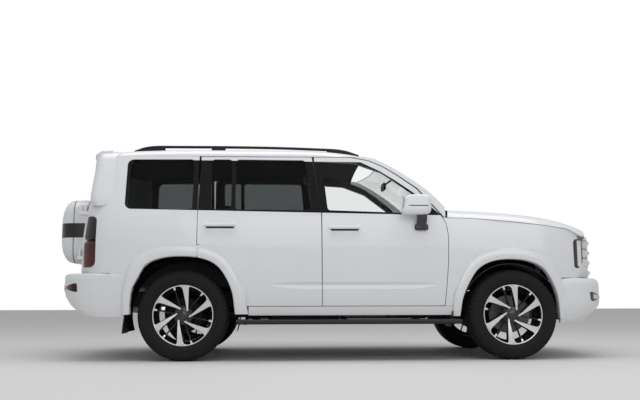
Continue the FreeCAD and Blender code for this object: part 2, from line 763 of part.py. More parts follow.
# Steps outside the sills
step_high = size("step_top") - GAP
step_low = step_high - size("step_drop")
step = block(-825, 1107, -985, -800, step_low, step_low + size("step_thick"))
step = step.makeFillet(15, [e for e in step.Edges if e.Length > 1900])
step_arms = [block(x, x + 50, -830, -size("rail_centre") - size("rail_width") / 2,
                   step_low + 5, step_low + 35) for x in (-700, 100, 900)]
step_hooks = [block(x, x + 50, -size("rail_centre") - size("rail_width") / 2 - 40,
                    -size("rail_centre") - size("rail_width") / 2, step_low + 5,
                    size("rail_bottom") + 60) for x in (-700, 100, 900)]
step_right = joined([step] + step_arms + step_hooks)
add_node("side_steps", both_sides(step_right))

# Roof rack bars on three feet each
rack_y = -size("rack_half")
rack_high = size("rack_top")
rack_low = rack_high - size("rack_bar")
rack_bar = side_prism([(-1772, 1850), (-1640, rack_high, 60), (-600, rack_high, 900),
                       (120, rack_high - 24, 60), (262, 1824), (190, 1826), (100, rack_low - 26, 40),
                       (-600, rack_low, 900), (-1620, rack_low, 40), (-1690, 1848)],
                      rack_y - 20, rack_y + 20)
rack_foot = side_prism([(-1095, 1840), (-1050, rack_low + 5), (-1000, rack_low + 5), (-965, 1840)],
                       rack_y - 18, rack_y + 18)
rack = joined([rack_bar, rack_foot]).cut(slab(roof_grid, 0, 60))
rack = max(rack.Solids, key=lambda s: s.Volume)
add_node("roof_rails", both_sides(rack))

# Ladder frame
rail_in = size("rail_centre") - size("rail_width") / 2
rail_out = size("rail_centre") + size("rail_width") / 2
rail_low = size("rail_bottom")
rail_high = rail_low + size("rail_height")
rails = [block(-2200, 2420, -rail_out, -rail_in, rail_low, rail_high)]
rails += [block(-2200, 2420, rail_in, rail_out, rail_low, rail_high)]
for x in (-2190, -1720, -900, -250, 500, 1150, 2330):
    rails.append(block(x, x + 70, -rail_in, rail_in, rail_low + 30, rail_high - 20))
for side in (-1, 1):
    inner, outer = sorted((side * rail_in, side * rail_out))
    rails.append(block(2420, 2520, inner, outer, rail_low + 10, rail_high - 10))
    rails.append(block(-2300, -2200, inner, outer, rail_low + 10, rail_high - 10))
JACK_PAD_X = -820
JACK_PAD_LENGTH = 120
JACK_PAD_DROP = 12
for y_from in (-rail_out, rail_in):
    rails.append(block(JACK_PAD_X - JACK_PAD_LENGTH / 2, JACK_PAD_X + JACK_PAD_LENGTH / 2, y_from,
                       y_from + size("rail_width"), rail_low - JACK_PAD_DROP, rail_low))
chassis = joined(rails).cut(front_bumper).cut(rear_bumper)
chassis = max(chassis.Solids, key=lambda s: s.Volume)
add_node("chassis_frame", chassis)

# Floor with its wheel boxes and the scuttle bulkhead
liner_clear = Part.makeCylinder(450, 300, Vector(size("front_axle_x"), -900, size("tyre_radius")),
                                Vector(0, 1, 0))
floor = block(-2140, 1060, -TUB, TUB, floor_z, floor_top)
wheel_gap = block(-1740, -820, -TUB - 10, -630, floor_z - 10, floor_top + 10)
floor = floor.cut(wheel_gap).cut(mirrored(wheel_gap))
box_roof = block(-1752, -808, -TUB, -618, 905, 917)
box_side = block(-1752, -808, -630, -618, floor_z, 917)
box_ends = [block(-1752, -1740, -TUB, -618, floor_z, 917), block(-820, -808, -TUB, -618, floor_z, 917)]
wheel_box = joined([box_roof, box_side] + box_ends)
floor = joined([floor, wheel_box, mirrored(wheel_box)])
frame_mounts = [block(x, x + 90, side * size("rail_centre") - 40, side * size("rail_centre") + 40,
                      rail_high, floor_z) for x in (-2000, -600, 300, 900) for side in (-1, 1)]
floor = joined([floor] + frame_mounts)
add_node("floor_pan", floor)

bulkhead = block(1060, 1080, -TUB, TUB, floor_z, 1215)
cowl = block(985, 1160, -830, 830, 1215, 1250 - SEAT)
aprons = [block(1080, 2180, -880, -800, 1060, 1110), block(1080, 1110, -830, 830, 1060, 1216)]
aprons.append(mirrored(aprons[0]))
support = block(2180, 2210, -880, 880, rail_high, 1110)
support = support.cut(block(2100, 2300, -560, 560, 640, 1060))
front_structure = joined([bulkhead, cowl, support] + aprons)
front_structure = front_structure.cut(wing).cut(mirrored(wing)).cut(headlight).cut(mirrored(headlight))
front_structure = front_structure.cut(a_pillar).cut(mirrored(a_pillar)).cut(front_bumper).cut(liner_clear).cut(mirrored(liner_clear))
add_node("bulkhead", max(front_structure.Solids, key=lambda s: s.Volume))

# Dashboard and steering wheel
dash = side_prism([(1060 - SEAT, 1180), (760, 1180, 40), (720, 1080, 30), (780, 900, 40),
                   (1060 - SEAT, 820)], -740, 740)
add_node("dashboard", dash)
wheel_centre = Vector(600, 380, 1075)
wheel_axis = Vector(-1, 0, 0.45)
wheel_rim = Part.makeTorus(180, 15, wheel_centre, wheel_axis)
wheel_hub = Part.makeCylinder(45, 50, wheel_centre, wheel_axis * -1)
spoke = Part.makeBox(30, 340, 14, Vector(-15, -170, -7))
spoke.Placement = Placement(wheel_centre, Rotation(Vector(0, 0, 1), wheel_axis))
column = Part.makeCylinder(25, 175, wheel_centre, wheel_axis * -1)
add_node("steering_wheel", joined([wheel_rim, wheel_hub, spoke, column]).cut(dash))

# Seats: cushion, back and head rest in one pad each
SEAT_FLOOR = floor_top


def seat(x_hip, y_from, y_to, z_floor, back_high):
    """A seat on its base, from its side outline."""
    outline = [(x_hip - 60, z_floor + 20), (x_hip + 480, z_floor + 20), (x_hip + 500, z_floor + 290, 50),
               (x_hip + 90, z_floor + 240, 40), (x_hip - 110, back_high, 40),
               (x_hip - 210, back_high, 40), (x_hip - 90, z_floor + 60)]
    pad = side_prism(outline, y_from, y_to)
    base = block(x_hip, x_hip + 380, y_from + 60, y_to - 60, z_floor, z_floor + 30)
    return joined([pad, base])


seats = [seat(0, -640, -140, SEAT_FLOOR, 1390), seat(0, 140, 640, SEAT_FLOOR, 1390)]
seats += [seat(-780, -600, 600, SEAT_FLOOR, 1370), seat(-1560, -560, 560, SEAT_FLOOR, 1330)]
add_node("seats", group(seats))

# Engine mass between the rails
engine = block(1180, 1980, -270, 270, 620, 1080)
engine_feet = [block(1500, 1600, side * 270 - 10, side * 270 + 10, 560, 700) for side in (-1, 1)]
engine_mounts = [block(1500, 1600, -rail_in, -250, 620, 660), block(1500, 1600, 250, rail_in, 620, 660)]
engine_legs = [block(1500, 1600, -rail_out + 5, -rail_in, rail_high, 660),
               block(1500, 1600, rail_in, rail_out - 5, rail_high, 660)]
add_node("engine", joined([engine] + engine_mounts + engine_legs))

# Wheels, hubs and axles
wheel_z = size("tyre_radius")
half_track = size("track_width") / 2
half_tyre = size("tyre_width") / 2


def tyre():
    """A tyre with rounded shoulders, open at the rim."""
    outer = size("tyre_radius")
    bead = size("rim_radius")
    half = half_tyre
    section = [(bead, half - 26), (bead + 40, half - 2), (bead + 80, half), (outer - 14, half - 14),
               (outer, half - 42), (outer, -(half - 42)), (outer - 14, -(half - 14)),
               (bead + 80, -half), (bead + 40, -(half - 2)), (bead, -(half - 26))]
    points = [Vector(r, y, 0) for r, y in section]
    face = Part.Face(Part.makePolygon(points + [points[0]]))
    return face.revolve(Vector(0, 0, 0), Vector(0, 1, 0), 360)


def rim(side):
    """An open rim with six broad spokes."""
    bead = size("rim_radius") - SEAT
    half = half_tyre - 26
    barrel = Part.makeCylinder(bead, 2 * half, Vector(0, -half, 0), Vector(0, 1, 0))
    barrel = barrel.cut(Part.makeCylinder(bead - 14, 2 * half, Vector(0, -half, 0), Vector(0, 1, 0)))
    hub = Part.makeCylinder(85, 60, Vector(0, -half + 12, 0), Vector(0, 1, 0))
    spokes = []
    for index in range(6):
        arm = side_prism([(0, -26), (0, 26), (bead - 5, 46), (bead - 5, -46)], -half + 14, -half + 44)
        arm.rotate(Vector(0, 0, 0), Vector(0, 1, 0), 60 * index + 30)
        spokes.append(arm)
    solid = joined([barrel, hub] + spokes)
    return mirrored(solid) if side > 0 else solid


for axle_name, axle_x in (("front", size("front_axle_x")), ("rear", REAR_AXLE_X)):
    for side_name, side in (("right", -1), ("left", 1)):
        place = Placement(Vector(axle_x, side * half_track, wheel_z), Rotation())
        add_node("tyre_%s_%s" % (axle_name, side_name), tyre(), place)
        add_node("rim_%s_%s" % (axle_name, side_name), rim(side), place)

DISC_RADIUS = 165
UPRIGHT_LOW = -110
UPRIGHT_HIGH = 130
ARM_THICK = 24
RIM_HUB_OUT = 60
RIM_EDGE = 26
HUB_FACE = half_track + half_tyre - RIM_EDGE - 12 - RIM_HUB_OUT - SEAT


def knuckle(side):
    """Front upright with its brake disc and caliper, turning about a vertical pin."""
    axle_x = size("front_axle_x")
    y_face = half_track - 30
    disc = Part.makeCylinder(DISC_RADIUS, 28, Vector(axle_x, y_face - 60, wheel_z), Vector(0, 1, 0))
    hub = Part.makeCylinder(60, HUB_FACE - y_face + 60, Vector(axle_x, y_face - 60, wheel_z),
                            Vector(0, 1, 0))
    caliper = Part.makeCylinder(DISC_RADIUS + 22, 70, Vector(axle_x, y_face - 82, wheel_z),
                                Vector(0, 1, 0), 70)
    caliper.rotate(Vector(axle_x, 0, wheel_z), Vector(0, 1, 0), 55)
    upright = block(axle_x - 45, axle_x + 45, y_face - 140, y_face - 60, wheel_z + UPRIGHT_LOW,
                    wheel_z + UPRIGHT_HIGH)
    solid = joined([disc, hub, caliper, upright])
    if side < 0:
        solid = mirrored(solid)
    return solid


print("knuckle", knuckle(1).isValid())
add_node("knuckle_right", knuckle(-1))
add_node("knuckle_left", knuckle(1))

axle_x = size("front_axle_x")
arms = []
for side in (-1, 1):
    for z in (wheel_z + UPRIGHT_LOW - SEAT - ARM_THICK, wheel_z + UPRIGHT_HIGH + SEAT):
        arms.append(plan_prism([(axle_x - 12, side * 702), (axle_x + 12, side * 702),
                                (axle_x + 45, side * 660), (axle_x + 150, side * 300), (axle_x - 150, side * 300),
                                (axle_x - 45, side * 660)], z, z + ARM_THICK))
    arms.append(block(axle_x - 150, axle_x + 150, min(side * 290, side * 350),
                      max(side * 290, side * 350), wheel_z + UPRIGHT_LOW - ARM_THICK,
                      wheel_z + UPRIGHT_HIGH + ARM_THICK))
cradle = block(axle_x - 100, axle_x + 100, -300, 300, wheel_z + UPRIGHT_LOW - ARM_THICK, wheel_z - 70)
add_node("front_suspension", joined([cradle] + arms).cut(chassis))

tube = Part.makeCylinder(42, 2 * half_track - 120, Vector(REAR_AXLE_X, -half_track + 60, wheel_z),
                         Vector(0, 1, 0))
case = Part.makeSphere(120, Vector(REAR_AXLE_X, 0, wheel_z))
drums = [Part.makeCylinder(150, 40, Vector(REAR_AXLE_X, side * (half_track - 70) - 20, wheel_z),
                           Vector(0, 1, 0)) for side in (-1, 1)]
drums += [Part.makeCylinder(60, 150, Vector(REAR_AXLE_X, side * (HUB_FACE - 75) - 75, wheel_z),
                            Vector(0, 1, 0)) for side in (-1, 1)]
links = [block(REAR_AXLE_X, -640, side * 340 - 20, side * 340 + 20, wheel_z - 30, wheel_z + 20)
         for side in (-1, 1)]
hangers = [block(-660, -600, side * 340 - 20, side * (rail_in), wheel_z - 30, rail_low)
           if side > 0 else block(-660, -600, -rail_in, -340 + 20, wheel_z - 30, rail_low)
           for side in (-1, 1)]
springs = [Part.makeCylinder(50, rail_low - wheel_z - 30,
                             Vector(REAR_AXLE_X, side * size("rail_centre"), wheel_z + 30),
                             Vector(0, 0, 1)) for side in (-1, 1)]
add_node("rear_axle", joined([tube, case] + drums + links + springs + hangers))

# Wheel well liners above the front wheels
liner_ring = []
liner = Part.makeCylinder(446, 220, Vector(axle_x, -860, wheel_z), Vector(0, 1, 0))
liner = liner.cut(Part.makeCylinder(438, 220, Vector(axle_x, -860, wheel_z), Vector(0, 1, 0)))
liner = liner.cut(block(axle_x - 500, axle_x + 500, -1000, -500, -200, 560))
liner = liner.cut(wing)
add_node("wheel_liners", both_sides(max(liner.Solids, key=lambda s: s.Volume)))

# Fuel tank and silencer below the floor
cross_low = rail_low + 30
tank = block(-560, 90, -350, -40, 300, cross_low - SEAT)
tank = tank.makeFillet(30, tank.Edges)
silencer = Part.makeCylinder(85, 500, Vector(-560, 230, 385), Vector(1, 0, 0))
silencer = joined([silencer, block(-240, -190, 215, 245, 440, cross_low - SEAT)])
add_node("underbody_tanks", group([tank, silencer]))

# Door mirrors
mirror_shell = cross_prism([(-1085, 1262, 35), (-985, 1262, 35), (-985, 1405, 35), (-1085, 1405, 50)],
                           610, 835)
mirror_stalk = block(700, 790, -1030, -950, 1180, 1290)
mirror_foot = block(690, 800, -1000, -half_width(1190) + 12, 1165, 1215)
mirror = joined([mirror_shell, mirror_stalk, mirror_foot]).cut(front_door_wall)
mirror = max(mirror.Solids, key=lambda s: s.Volume)
add_node("mirror_right", mirror)
add_node("mirror_left", mirrored(mirror))

doc.recompute()
os.makedirs("parts", exist_ok=True)
for item in doc.Objects:
    if "Invalid" in item.State or "Error" in item.State:
        raise RuntimeError("failed object: " + item.Name)
for node in NODES:
    shape = node.Shape
    if shape.isNull() or not shape.isValid():
        raise RuntimeError("bad shape: " + node.Label)
for node in NODES:
    node.Shape.exportStep("parts/%s.step" % node.Label)
print(len(NODES), "nodes")
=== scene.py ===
"""A white five-door off-road estate car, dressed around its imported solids."""
import logging
import math
from collections.abc import Callable, Sequence
from dataclasses import dataclass, field
from enum import Enum

import bmesh
import bpy
import numpy as np
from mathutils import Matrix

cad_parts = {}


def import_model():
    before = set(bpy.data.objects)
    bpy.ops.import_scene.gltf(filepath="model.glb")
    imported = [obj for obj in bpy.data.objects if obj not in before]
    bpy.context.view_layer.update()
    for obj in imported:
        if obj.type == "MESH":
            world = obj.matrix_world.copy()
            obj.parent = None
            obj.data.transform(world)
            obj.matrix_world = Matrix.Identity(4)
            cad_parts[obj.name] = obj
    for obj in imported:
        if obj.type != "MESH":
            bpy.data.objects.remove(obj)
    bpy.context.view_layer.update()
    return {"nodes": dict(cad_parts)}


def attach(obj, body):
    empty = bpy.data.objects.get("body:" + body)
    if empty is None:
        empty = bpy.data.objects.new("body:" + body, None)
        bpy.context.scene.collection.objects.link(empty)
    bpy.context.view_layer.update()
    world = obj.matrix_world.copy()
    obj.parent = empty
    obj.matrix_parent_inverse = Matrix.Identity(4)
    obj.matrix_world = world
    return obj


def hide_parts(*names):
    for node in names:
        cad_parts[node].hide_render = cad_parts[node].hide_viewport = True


LOG = logging.getLogger("estate")
Triple = tuple[float, float, float]
Colour = Triple
Points = np.ndarray
Number = Points | float

# Sizes of the solids that several pieces follow, in metres
FRONT_AXLE, REAR_AXLE = 1.570, -1.280
AXLE_Z, HALF_TRACK = 0.387, 0.805
HALF_WIDTH = 0.957
SHOULDER_Z, BELT_Z = 1.0, 1.3
TUCK, TUCK_FALL, LEAN = 0.07, 0.7, 0.255
BEND = LEAN / (2 * (BELT_Z - SHOULDER_Z))
TAIL_START, TAIL_END = -1.5, -2.225
NOSE_START, NOSE_END = 1.4, 2.410
TAIL_POWER = 0.4
ROOF_TOP, ROOF_EDGE_DROP = 1.887, 0.088
RACK_Y = -0.610
MERGE, DEGENERATE = 1e-5, 1e-6


class Side(Enum):
    """Which side of the car a piece is on, as the sign of its Y."""

    RIGHT = -1
    LEFT = 1

    @property
    def word(self) -> str:
        """The side's name in a node."""
        return self.name.lower()

    def put(self, points: Points) -> Points:
        """Points drawn for the right side, on this side."""
        return points * np.array([1.0, -self.value, 1.0])


# Surfaces


def spots(x: Number, y: Number, z: Number) -> Points:
    """Points from their coordinates, spread over each other's shapes and stacked last."""
    return np.stack(np.broadcast_arrays(x, y, z), -1)


def smooth_step(t: Number) -> Number:
    """Ease from 0 to 1: three t squared less two t cubed, held at its ends."""
    t = np.clip(t, 0, 1)
    return t * t * (3 - 2 * t)


def powered(value: Points, power: float) -> Points:
    """A sine or cosine with its sign kept and its size raised to a power."""
    return np.sign(value) * np.abs(value) ** power


def between(first: Points, last: Points, share: Points) -> Points:
    """Rows of flat points that run from one line to another by a row of shares."""
    return first[:, None] * (1 - share)[None, :, None] + last[:, None] * share[None, :, None]


def through(stations: Sequence[Sequence[float]], at: Points) -> Points:
    """Read a table of values at new stations.

    Args:
        stations: Rows whose first number is the station.
        at: Stations to read at.

    Returns:
        One row of the other columns for each station, on straight lines between the given rows.
    """
    table = np.asarray(stations, float)
    return np.stack([np.interp(at, table[:, 0], table[:, k]) for k in range(1, table.shape[1])], -1)


def arc(start: Points, middle: Points, end: Points, t: Points) -> Points:
    """The quadratic curve from start to end with middle as its control point."""
    return start * (1 - t) ** 2 + middle * 2 * t * (1 - t) + end * t ** 2


def rounded_loop(corners: Sequence[Sequence[float]], steps: int = 6) -> Points:
    """Round the corners of a flat closed outline.

    Each corner (a, b, radius) becomes a quadratic curve from a point one radius before the corner
    to one radius after it.

    Args:
        corners: Corners in order, each with its radius.
        steps: Segments in each arc.

    Returns:
        The outline's points, (steps + 1) a corner.
    """
    table = np.asarray(corners, float)
    here, reach = table[:, :2], table[:, 2:3]
    ends = []
    for turn in (1, -1):
        other = np.roll(here, turn, 0) - here
        ends.append(here + other / np.linalg.norm(other, axis=1, keepdims=True) * reach)
    t = np.linspace(0, 1, steps + 1)[None, :, None]
    return arc(ends[0][:, None], here[:, None], ends[1][:, None], t).reshape(-1, 2)


def rounded_rectangle(half_a: float, half_b: float, radius: float, steps: int = 4) -> Points:
    """A rectangle about the origin with rounded corners."""
    return rounded_loop([(-half_a, -half_b, radius), (half_a, -half_b, radius),
                         (half_a, half_b, radius), (-half_a, half_b, radius)], steps)


def rounded_line(corners: Sequence[Sequence[float]], count: int = 60) -> Points:
    """Round the corners of an open line and space its points evenly.

    Args:
        corners: Corners (a, b, radius), the ends with radius 0.
        count: Points wanted.

    Returns:
        Points along the rounded line, (count, 2).
    """
    table = np.asarray(corners, float)
    flat, radius = table[:, :2], table[:, 2]
    t = np.linspace(0, 1, 12)[:, None]
    curve = [flat[0]]
    for k in range(1, len(table) - 1):
        ends = [flat[k] + other * min(radius[k] / np.linalg.norm(other), 0.49)
                for other in (flat[k - 1] - flat[k], flat[k + 1] - flat[k])]
        curve.extend(arc(ends[0], flat[k], ends[1], t))
    line = np.array([*curve, flat[-1]])
    place = np.concatenate([[0], np.cumsum(np.linalg.norm(np.diff(line, axis=0), axis=1))])
    at = np.linspace(0, place[-1], count)
    return np.stack([np.interp(at, place, line[:, k]) for k in (0, 1)], -1)


def carried(path: Points, profile: Points, up: Sequence[float]) -> Points:
    """Carry a flat profile along a path.

    At each path point the profile's first number runs along the side direction, the cross product
    of the path's direction and up, and its second along the direction square to both.

    Args:
        path: Path points, (n, 3).
        profile: Profile points, (m, 2) or (n, m, 2).
        up: A direction that the path never runs along.

    Returns:
        Rings of points, (n, m, 3).
    """
    path = np.asarray(path, float)
    run = np.gradient(path, axis=0)
    run /= np.linalg.norm(run, axis=1, keepdims=True)
    side = np.cross(run, np.broadcast_to(np.asarray(up, float), path.shape))
    side /= np.linalg.norm(side, axis=1, keepdims=True)
    lift = np.cross(side, run)
    profile = np.broadcast_to(profile, (len(path), *np.shape(profile)[-2:]))
    return path[:, None] + side[:, None] * profile[..., 0:1] + lift[:, None] * profile[..., 1:2]


def circle(radius: float, count: int = 16) -> Points:
    """A round profile."""
    turn = np.linspace(0, 2 * np.pi, count, endpoint=False)
    return np.stack([np.cos(turn), np.sin(turn)], -1) * radius


def smooth_path(points: Sequence[Sequence[float]], count: int = 40) -> Points:
    """A smooth path through a few points: cubic pieces whose slope at a point is half the chord
    between its neighbours.

    Args:
        points: The points.
        count: Points on the path.

    Returns:
        The path's points.
    """
    table = np.asarray(points, float)
    slopes = np.gradient(table, axis=0)
    place = np.linspace(0, len(table) - 1, count)
    index = np.minimum(place.astype(int), len(table) - 2)
    t = (place - index)[:, None]
    a, b, ma, mb = table[index], table[index + 1], slopes[index], slopes[index + 1]
    return ((2 * t ** 3 - 3 * t ** 2 + 1) * a + (t ** 3 - 2 * t ** 2 + t) * ma
            + (3 * t ** 2 - 2 * t ** 3) * b + (t ** 3 - t ** 2) * mb)


def pillow(centre: Sequence[float], half: Sequence[float], square: float = 0.35,
           counts: tuple[int, int] = (16, 28)) -> Points:
    """A soft-cornered block: a sphere whose sines and cosines are raised to a small power.

    Args:
        centre: Its middle.
        half: Half its size along each axis.
        square: 1 gives a ball and values near 0 a sharp block.
        counts: Rings and points in each.

    Returns:
        Rings of points from one pole to the other.
    """
    fall = np.linspace(-np.pi / 2, np.pi / 2, counts[0])[:, None]
    turn = np.linspace(0, 2 * np.pi, counts[1], endpoint=False)[None]
    round_fall = powered(np.cos(fall), square)
    ball = spots(round_fall * powered(np.cos(turn), square),
                 round_fall * powered(np.sin(turn), square), powered(np.sin(fall), square))
    return np.asarray(centre) + ball * np.asarray(half)


@dataclass
class Form:
    """Surfaces of one piece as they are gathered, with a finish number for each face."""

    points: list[Points] = field(default_factory=list)
    faces: list[Points] = field(default_factory=list)
    marks: list[Points] = field(default_factory=list)
    count: int = 0

    def grid(self, rings: Points, mark: int | Points = 0, wrap: bool = True,
             tube: bool = False) -> None:
        """Add a surface through rings of points.

        Args:
            rings: Points, (rows, columns, 3).
            mark: One finish number, or one for each quad.
            wrap: The rings are closed.
            tube: The last ring joins the first.
        """
        rows, columns = rings.shape[:2]
        index = np.arange(rows * columns).reshape(rows, columns) + self.count
        if wrap:
            index = np.hstack([index, index[:, :1]])
        if tube:
            index = np.vstack([index, index[:1]])
        quads = np.stack([index[:-1, :-1], index[1:, :-1], index[1:, 1:], index[:-1, 1:]], -1)
        self.marks.append(np.broadcast_to(mark, quads.shape[:2]).reshape(-1))
        self.faces.append(quads.reshape(-1, 4))
        self.points.append(rings.reshape(-1, 3))
        self.count += rows * columns

    def solid(self, rings: Points, mark: int | Points = 0) -> None:
        """Add a surface through closed rings and close both its ends at their middles.

        Args:
            rings: Rings of points.
            mark: Finish number of the faces, one or one for each.
        """
        ends = [np.broadcast_to(rings[k].mean(0), rings[k].shape)[None] for k in (0, -1)]
        if np.ndim(mark):
            mark = np.concatenate([mark[:1], mark, mark[-1:]])
        self.grid(np.concatenate([ends[0], rings, ends[1]]), mark)

    def bar(self, path: Points, profile: Points, up: Sequence[float] = (0, 0, 1),
            mark: int = 0) -> None:
        """Add a closed bar: a profile carried along a path."""
        self.solid(carried(path, profile, up), mark)

    def seams(self, *edges: tuple[Points, Points]) -> None:
        """Close a shell by strips between pairs of its edges."""
        for first, last in edges:
            self.grid(np.stack([first, last]), wrap=False)

    def piece(self, name: str, body: str, slot: str, materials: Sequence[bpy.types.Material],
              sharp_deg: float, stands_for: Sequence[str]) -> bpy.types.Object:
        """Make the gathered surfaces one object of the car.

        Args:
            name: The piece's name.
            body: The body that carries it.
            slot: The record's material slot, which is not used.
            materials: Its finishes, by finish number.
            sharp_deg: Edges that turn more than this stay sharp.
            stands_for: CAD nodes that it replaces.

        Returns:
            The new object.
        """
        mesh = bpy.data.meshes.new(name)
        mesh.from_pydata(np.concatenate(self.points).tolist(), [],
                         np.concatenate(self.faces).tolist())
        mesh.polygons.foreach_set("material_index", np.concatenate(self.marks).astype(np.int32))
        work = bmesh.new()
        work.from_mesh(mesh)
        bmesh.ops.remove_doubles(work, verts=work.verts, dist=MERGE)
        bmesh.ops.dissolve_degenerate(work, dist=DEGENERATE, edges=work.edges)
        bmesh.ops.recalc_face_normals(work, faces=work.faces)
        work.to_mesh(mesh)
        work.free()
        mesh.polygons.foreach_set("use_smooth", np.ones(len(mesh.polygons), bool))
        mesh.set_sharp_from_angle(angle=math.radians(sharp_deg))
        for material in materials:
            mesh.materials.append(material)
        piece = bpy.data.objects.new(name, mesh)
        bpy.context.scene.collection.objects.link(piece)
        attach(piece, body)
        if stands_for:
            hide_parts(*stands_for)
        LOG.info("%s: %d faces on %s", name, len(mesh.polygons), body)
        return piece


# Form of the body, as the solids have it


def half_width(z: Number) -> Points:
    """Half the body's width at height z: tucked in below the shoulder by the cube of the fall,
    leaning in above it by a square up to the belt and by a straight slope after that.

    Args:
        z: Heights.

    Returns:
        The half widths there.
    """
    z = np.asarray(z, float)
    below = np.clip(SHOULDER_Z - z, 0, None) / TUCK_FALL
    bend = np.clip(z, SHOULDER_Z, BELT_Z) - SHOULDER_Z
    return HALF_WIDTH - TUCK * below ** 3 - BEND * bend ** 2 - LEAN * np.clip(z - BELT_Z, 0, None)


def tail_x(z: Number) -> Points:
    """The tail on the centre line, leaning forward above the shoulder and more above the belt.

    Args:
        z: Heights.

    Returns:
        The stations of the tail there.
    """
    z = np.asarray(z, float)
    return (TAIL_END + 0.13 * np.clip(z - BELT_Z, 0, None) + 0.09 * np.clip(z - SHOULDER_Z, 0, None)
            + 0.25 * np.clip(0.7 - z, 0, None))


def nose_x(z: Number) -> Points:
    """The nose on the centre line, leaning back above 0.85 m."""
    return NOSE_END - 0.10 * np.clip(np.asarray(z, float) - 0.85, 0, None)


def roof_crown(x: Points) -> Points:
    """Height of the roof on the centre line: it falls by a cube to the windscreen and by a square
    to the tail."""
    return (ROOF_TOP - 0.058 * (np.clip(x + 0.5, 0, None) / 0.8) ** 3
            - 0.038 * (np.clip(-1.2 - x, 0, None) / 0.9) ** 2)


def side_skin(x: Number, z: Number, out: Number = 0.0) -> Points:
    """Points of the right side's skin.

    The half width is less a square taper ahead of the scuttle. Towards each end of the car it falls
    away as a rounded corner: one less a power of the share of the way to the end, to a small power.

    Args:
        x: Stations along the car.
        z: Heights.
        out: How far the points stand off the skin.

    Returns:
        Points, stacked on a last axis.
    """
    x, z = np.asarray(x, float), np.asarray(z, float)
    taper = 0.016 * (np.clip(np.minimum(x, NOSE_START) - 0.7, 0, None) / 0.56) ** 2
    back = np.clip((TAIL_START - x) / (TAIL_START - tail_x(z)), 0, 0.999)
    ahead = np.clip((x - NOSE_START) / (nose_x(z) - NOSE_START), 0, 0.999)
    corner = (1 - back ** 5) ** 0.2 * (1 - ahead ** 4.444) ** 0.225
    return spots(x, -((half_width(z) - taper) * corner + out), z)


@dataclass(frozen=True)
class EndSkin:
    """A skin across one end of the car, given across and up: straight in the middle and rounded
    into the sides by a power of the share of its half width.

    Its rows are height, distance back from the foremost point, and tuck of the sides.
    """

    start: float
    reach: float
    half: float
    power: float
    rows: tuple[Triple, ...] = ((0.0, 0.0, 0.0), (2.0, 0.0, 0.0))

    @property
    def sign(self) -> float:
        """Which end of the car it is, as a sign along X."""
        return math.copysign(1, self.reach)

    def shape(self, z: Number) -> tuple[Points, Points]:
        """Its length from the start and its half width at heights."""
        table = through(self.rows, z)
        return abs(self.reach - self.start) - table[..., 0], self.half - table[..., 1]

    def __call__(self, y: Number, z: Number, out: Number = 0.0) -> Points:
        """Points of the skin at distances across, heights and stand-offs.

        Args:
            y: Distances across the car.
            z: Heights.
            out: Distances out from the skin.

        Returns:
            The points.
        """
        y, z, out = np.broadcast_arrays(np.asarray(y, float), z, out)
        length, half = self.shape(z)
        share = np.clip(np.abs(y) / half, 0, 0.9995)
        run = (length + out) * (1 - share ** (2 / self.power)) ** (self.power / 2)
        return spots(self.start + self.sign * run, y, z)


NOSE = EndSkin(NOSE_START, 2.400, 0.925, 0.47)
FRONT_BUMPER = EndSkin(2.0, 2.531, 0.912, 0.75, (
    (0.315, 0.200, 0.060), (0.350, 0.150, 0.040), (0.400, 0.075, 0.020), (0.455, 0.012, 0.006),
    (0.500, 0.0, 0.0), (0.655, 0.0, 0.0), (0.685, 0.012, 0.008), (0.702, 0.040, 0.026)))
REAR_BUMPER = EndSkin(-1.778, -2.375, 0.9458, 0.45, (
    (0.375, 0.100, 0.040), (0.420, 0.050, 0.0275), (0.490, 0.012, 0.0165), (0.560, 0.0, 0.005),
    (0.700, 0.0, -0.0065), (0.732, 0.008, -0.006), (0.744, 0.028, 0.015)))
TAIL_GATE = EndSkin(TAIL_START, TAIL_END, 0.900, TAIL_POWER, (
    (0.7, 0.0, 0.0), (1.0, 0.0, 0.0), (1.3, 0.027, 0.01), (1.8, 0.137, 0.08)))


def box(low_a: float, low_b: float, high_a: float,
        high_b: float) -> tuple[tuple[float, float], ...]:
    """The four corners of a rectangle."""
    return (low_a, low_b), (high_a, low_b), (high_a, high_b), (low_a, high_b)


@dataclass(frozen=True)
class Patch:
    """A thin closed pad with rounded corners that follows a skin.

    Its corners lie in the skin's two places. It stands out of the skin, reaches some way below it,
    and has a small rounded edge.
    """

    corners: tuple[tuple[float, float], ...]
    radius: float | tuple[float, ...]
    out: float
    deep: float
    edge: float
    mark: int = 0

    def lay(self, form: Form, skin: Callable[..., Points], sign: float = 1.0) -> None:
        """Add the pad to a form: rings that widen from the middle, then the edge and the back.

        Args:
            form: The piece so far.
            skin: Points of the skin from two places and a stand-off.
            sign: 1, or -1 to change the sign of the first place.
        """
        outline = rounded_loop(np.column_stack([np.multiply(self.corners, (sign, 1.0)),
                                                np.broadcast_to(self.radius, 4)]))
        middle = outline.mean(0)
        spread = outline - middle
        shrink = 1 - self.edge / np.linalg.norm(spread, axis=1, keepdims=True)
        rings = [skin(*(middle + spread * shrink * share).T, self.out)
                 for share in (0.0, 0.2, 0.4, 0.6, 0.8, 0.92, 1.0)]
        back = skin(*outline.T, -self.deep)
        rings += [skin(*outline.T, self.out - self.edge), back,
                  np.broadcast_to(skin(*middle, -self.deep), back.shape)]
        form.grid(np.stack(rings), self.mark)


# Finishes


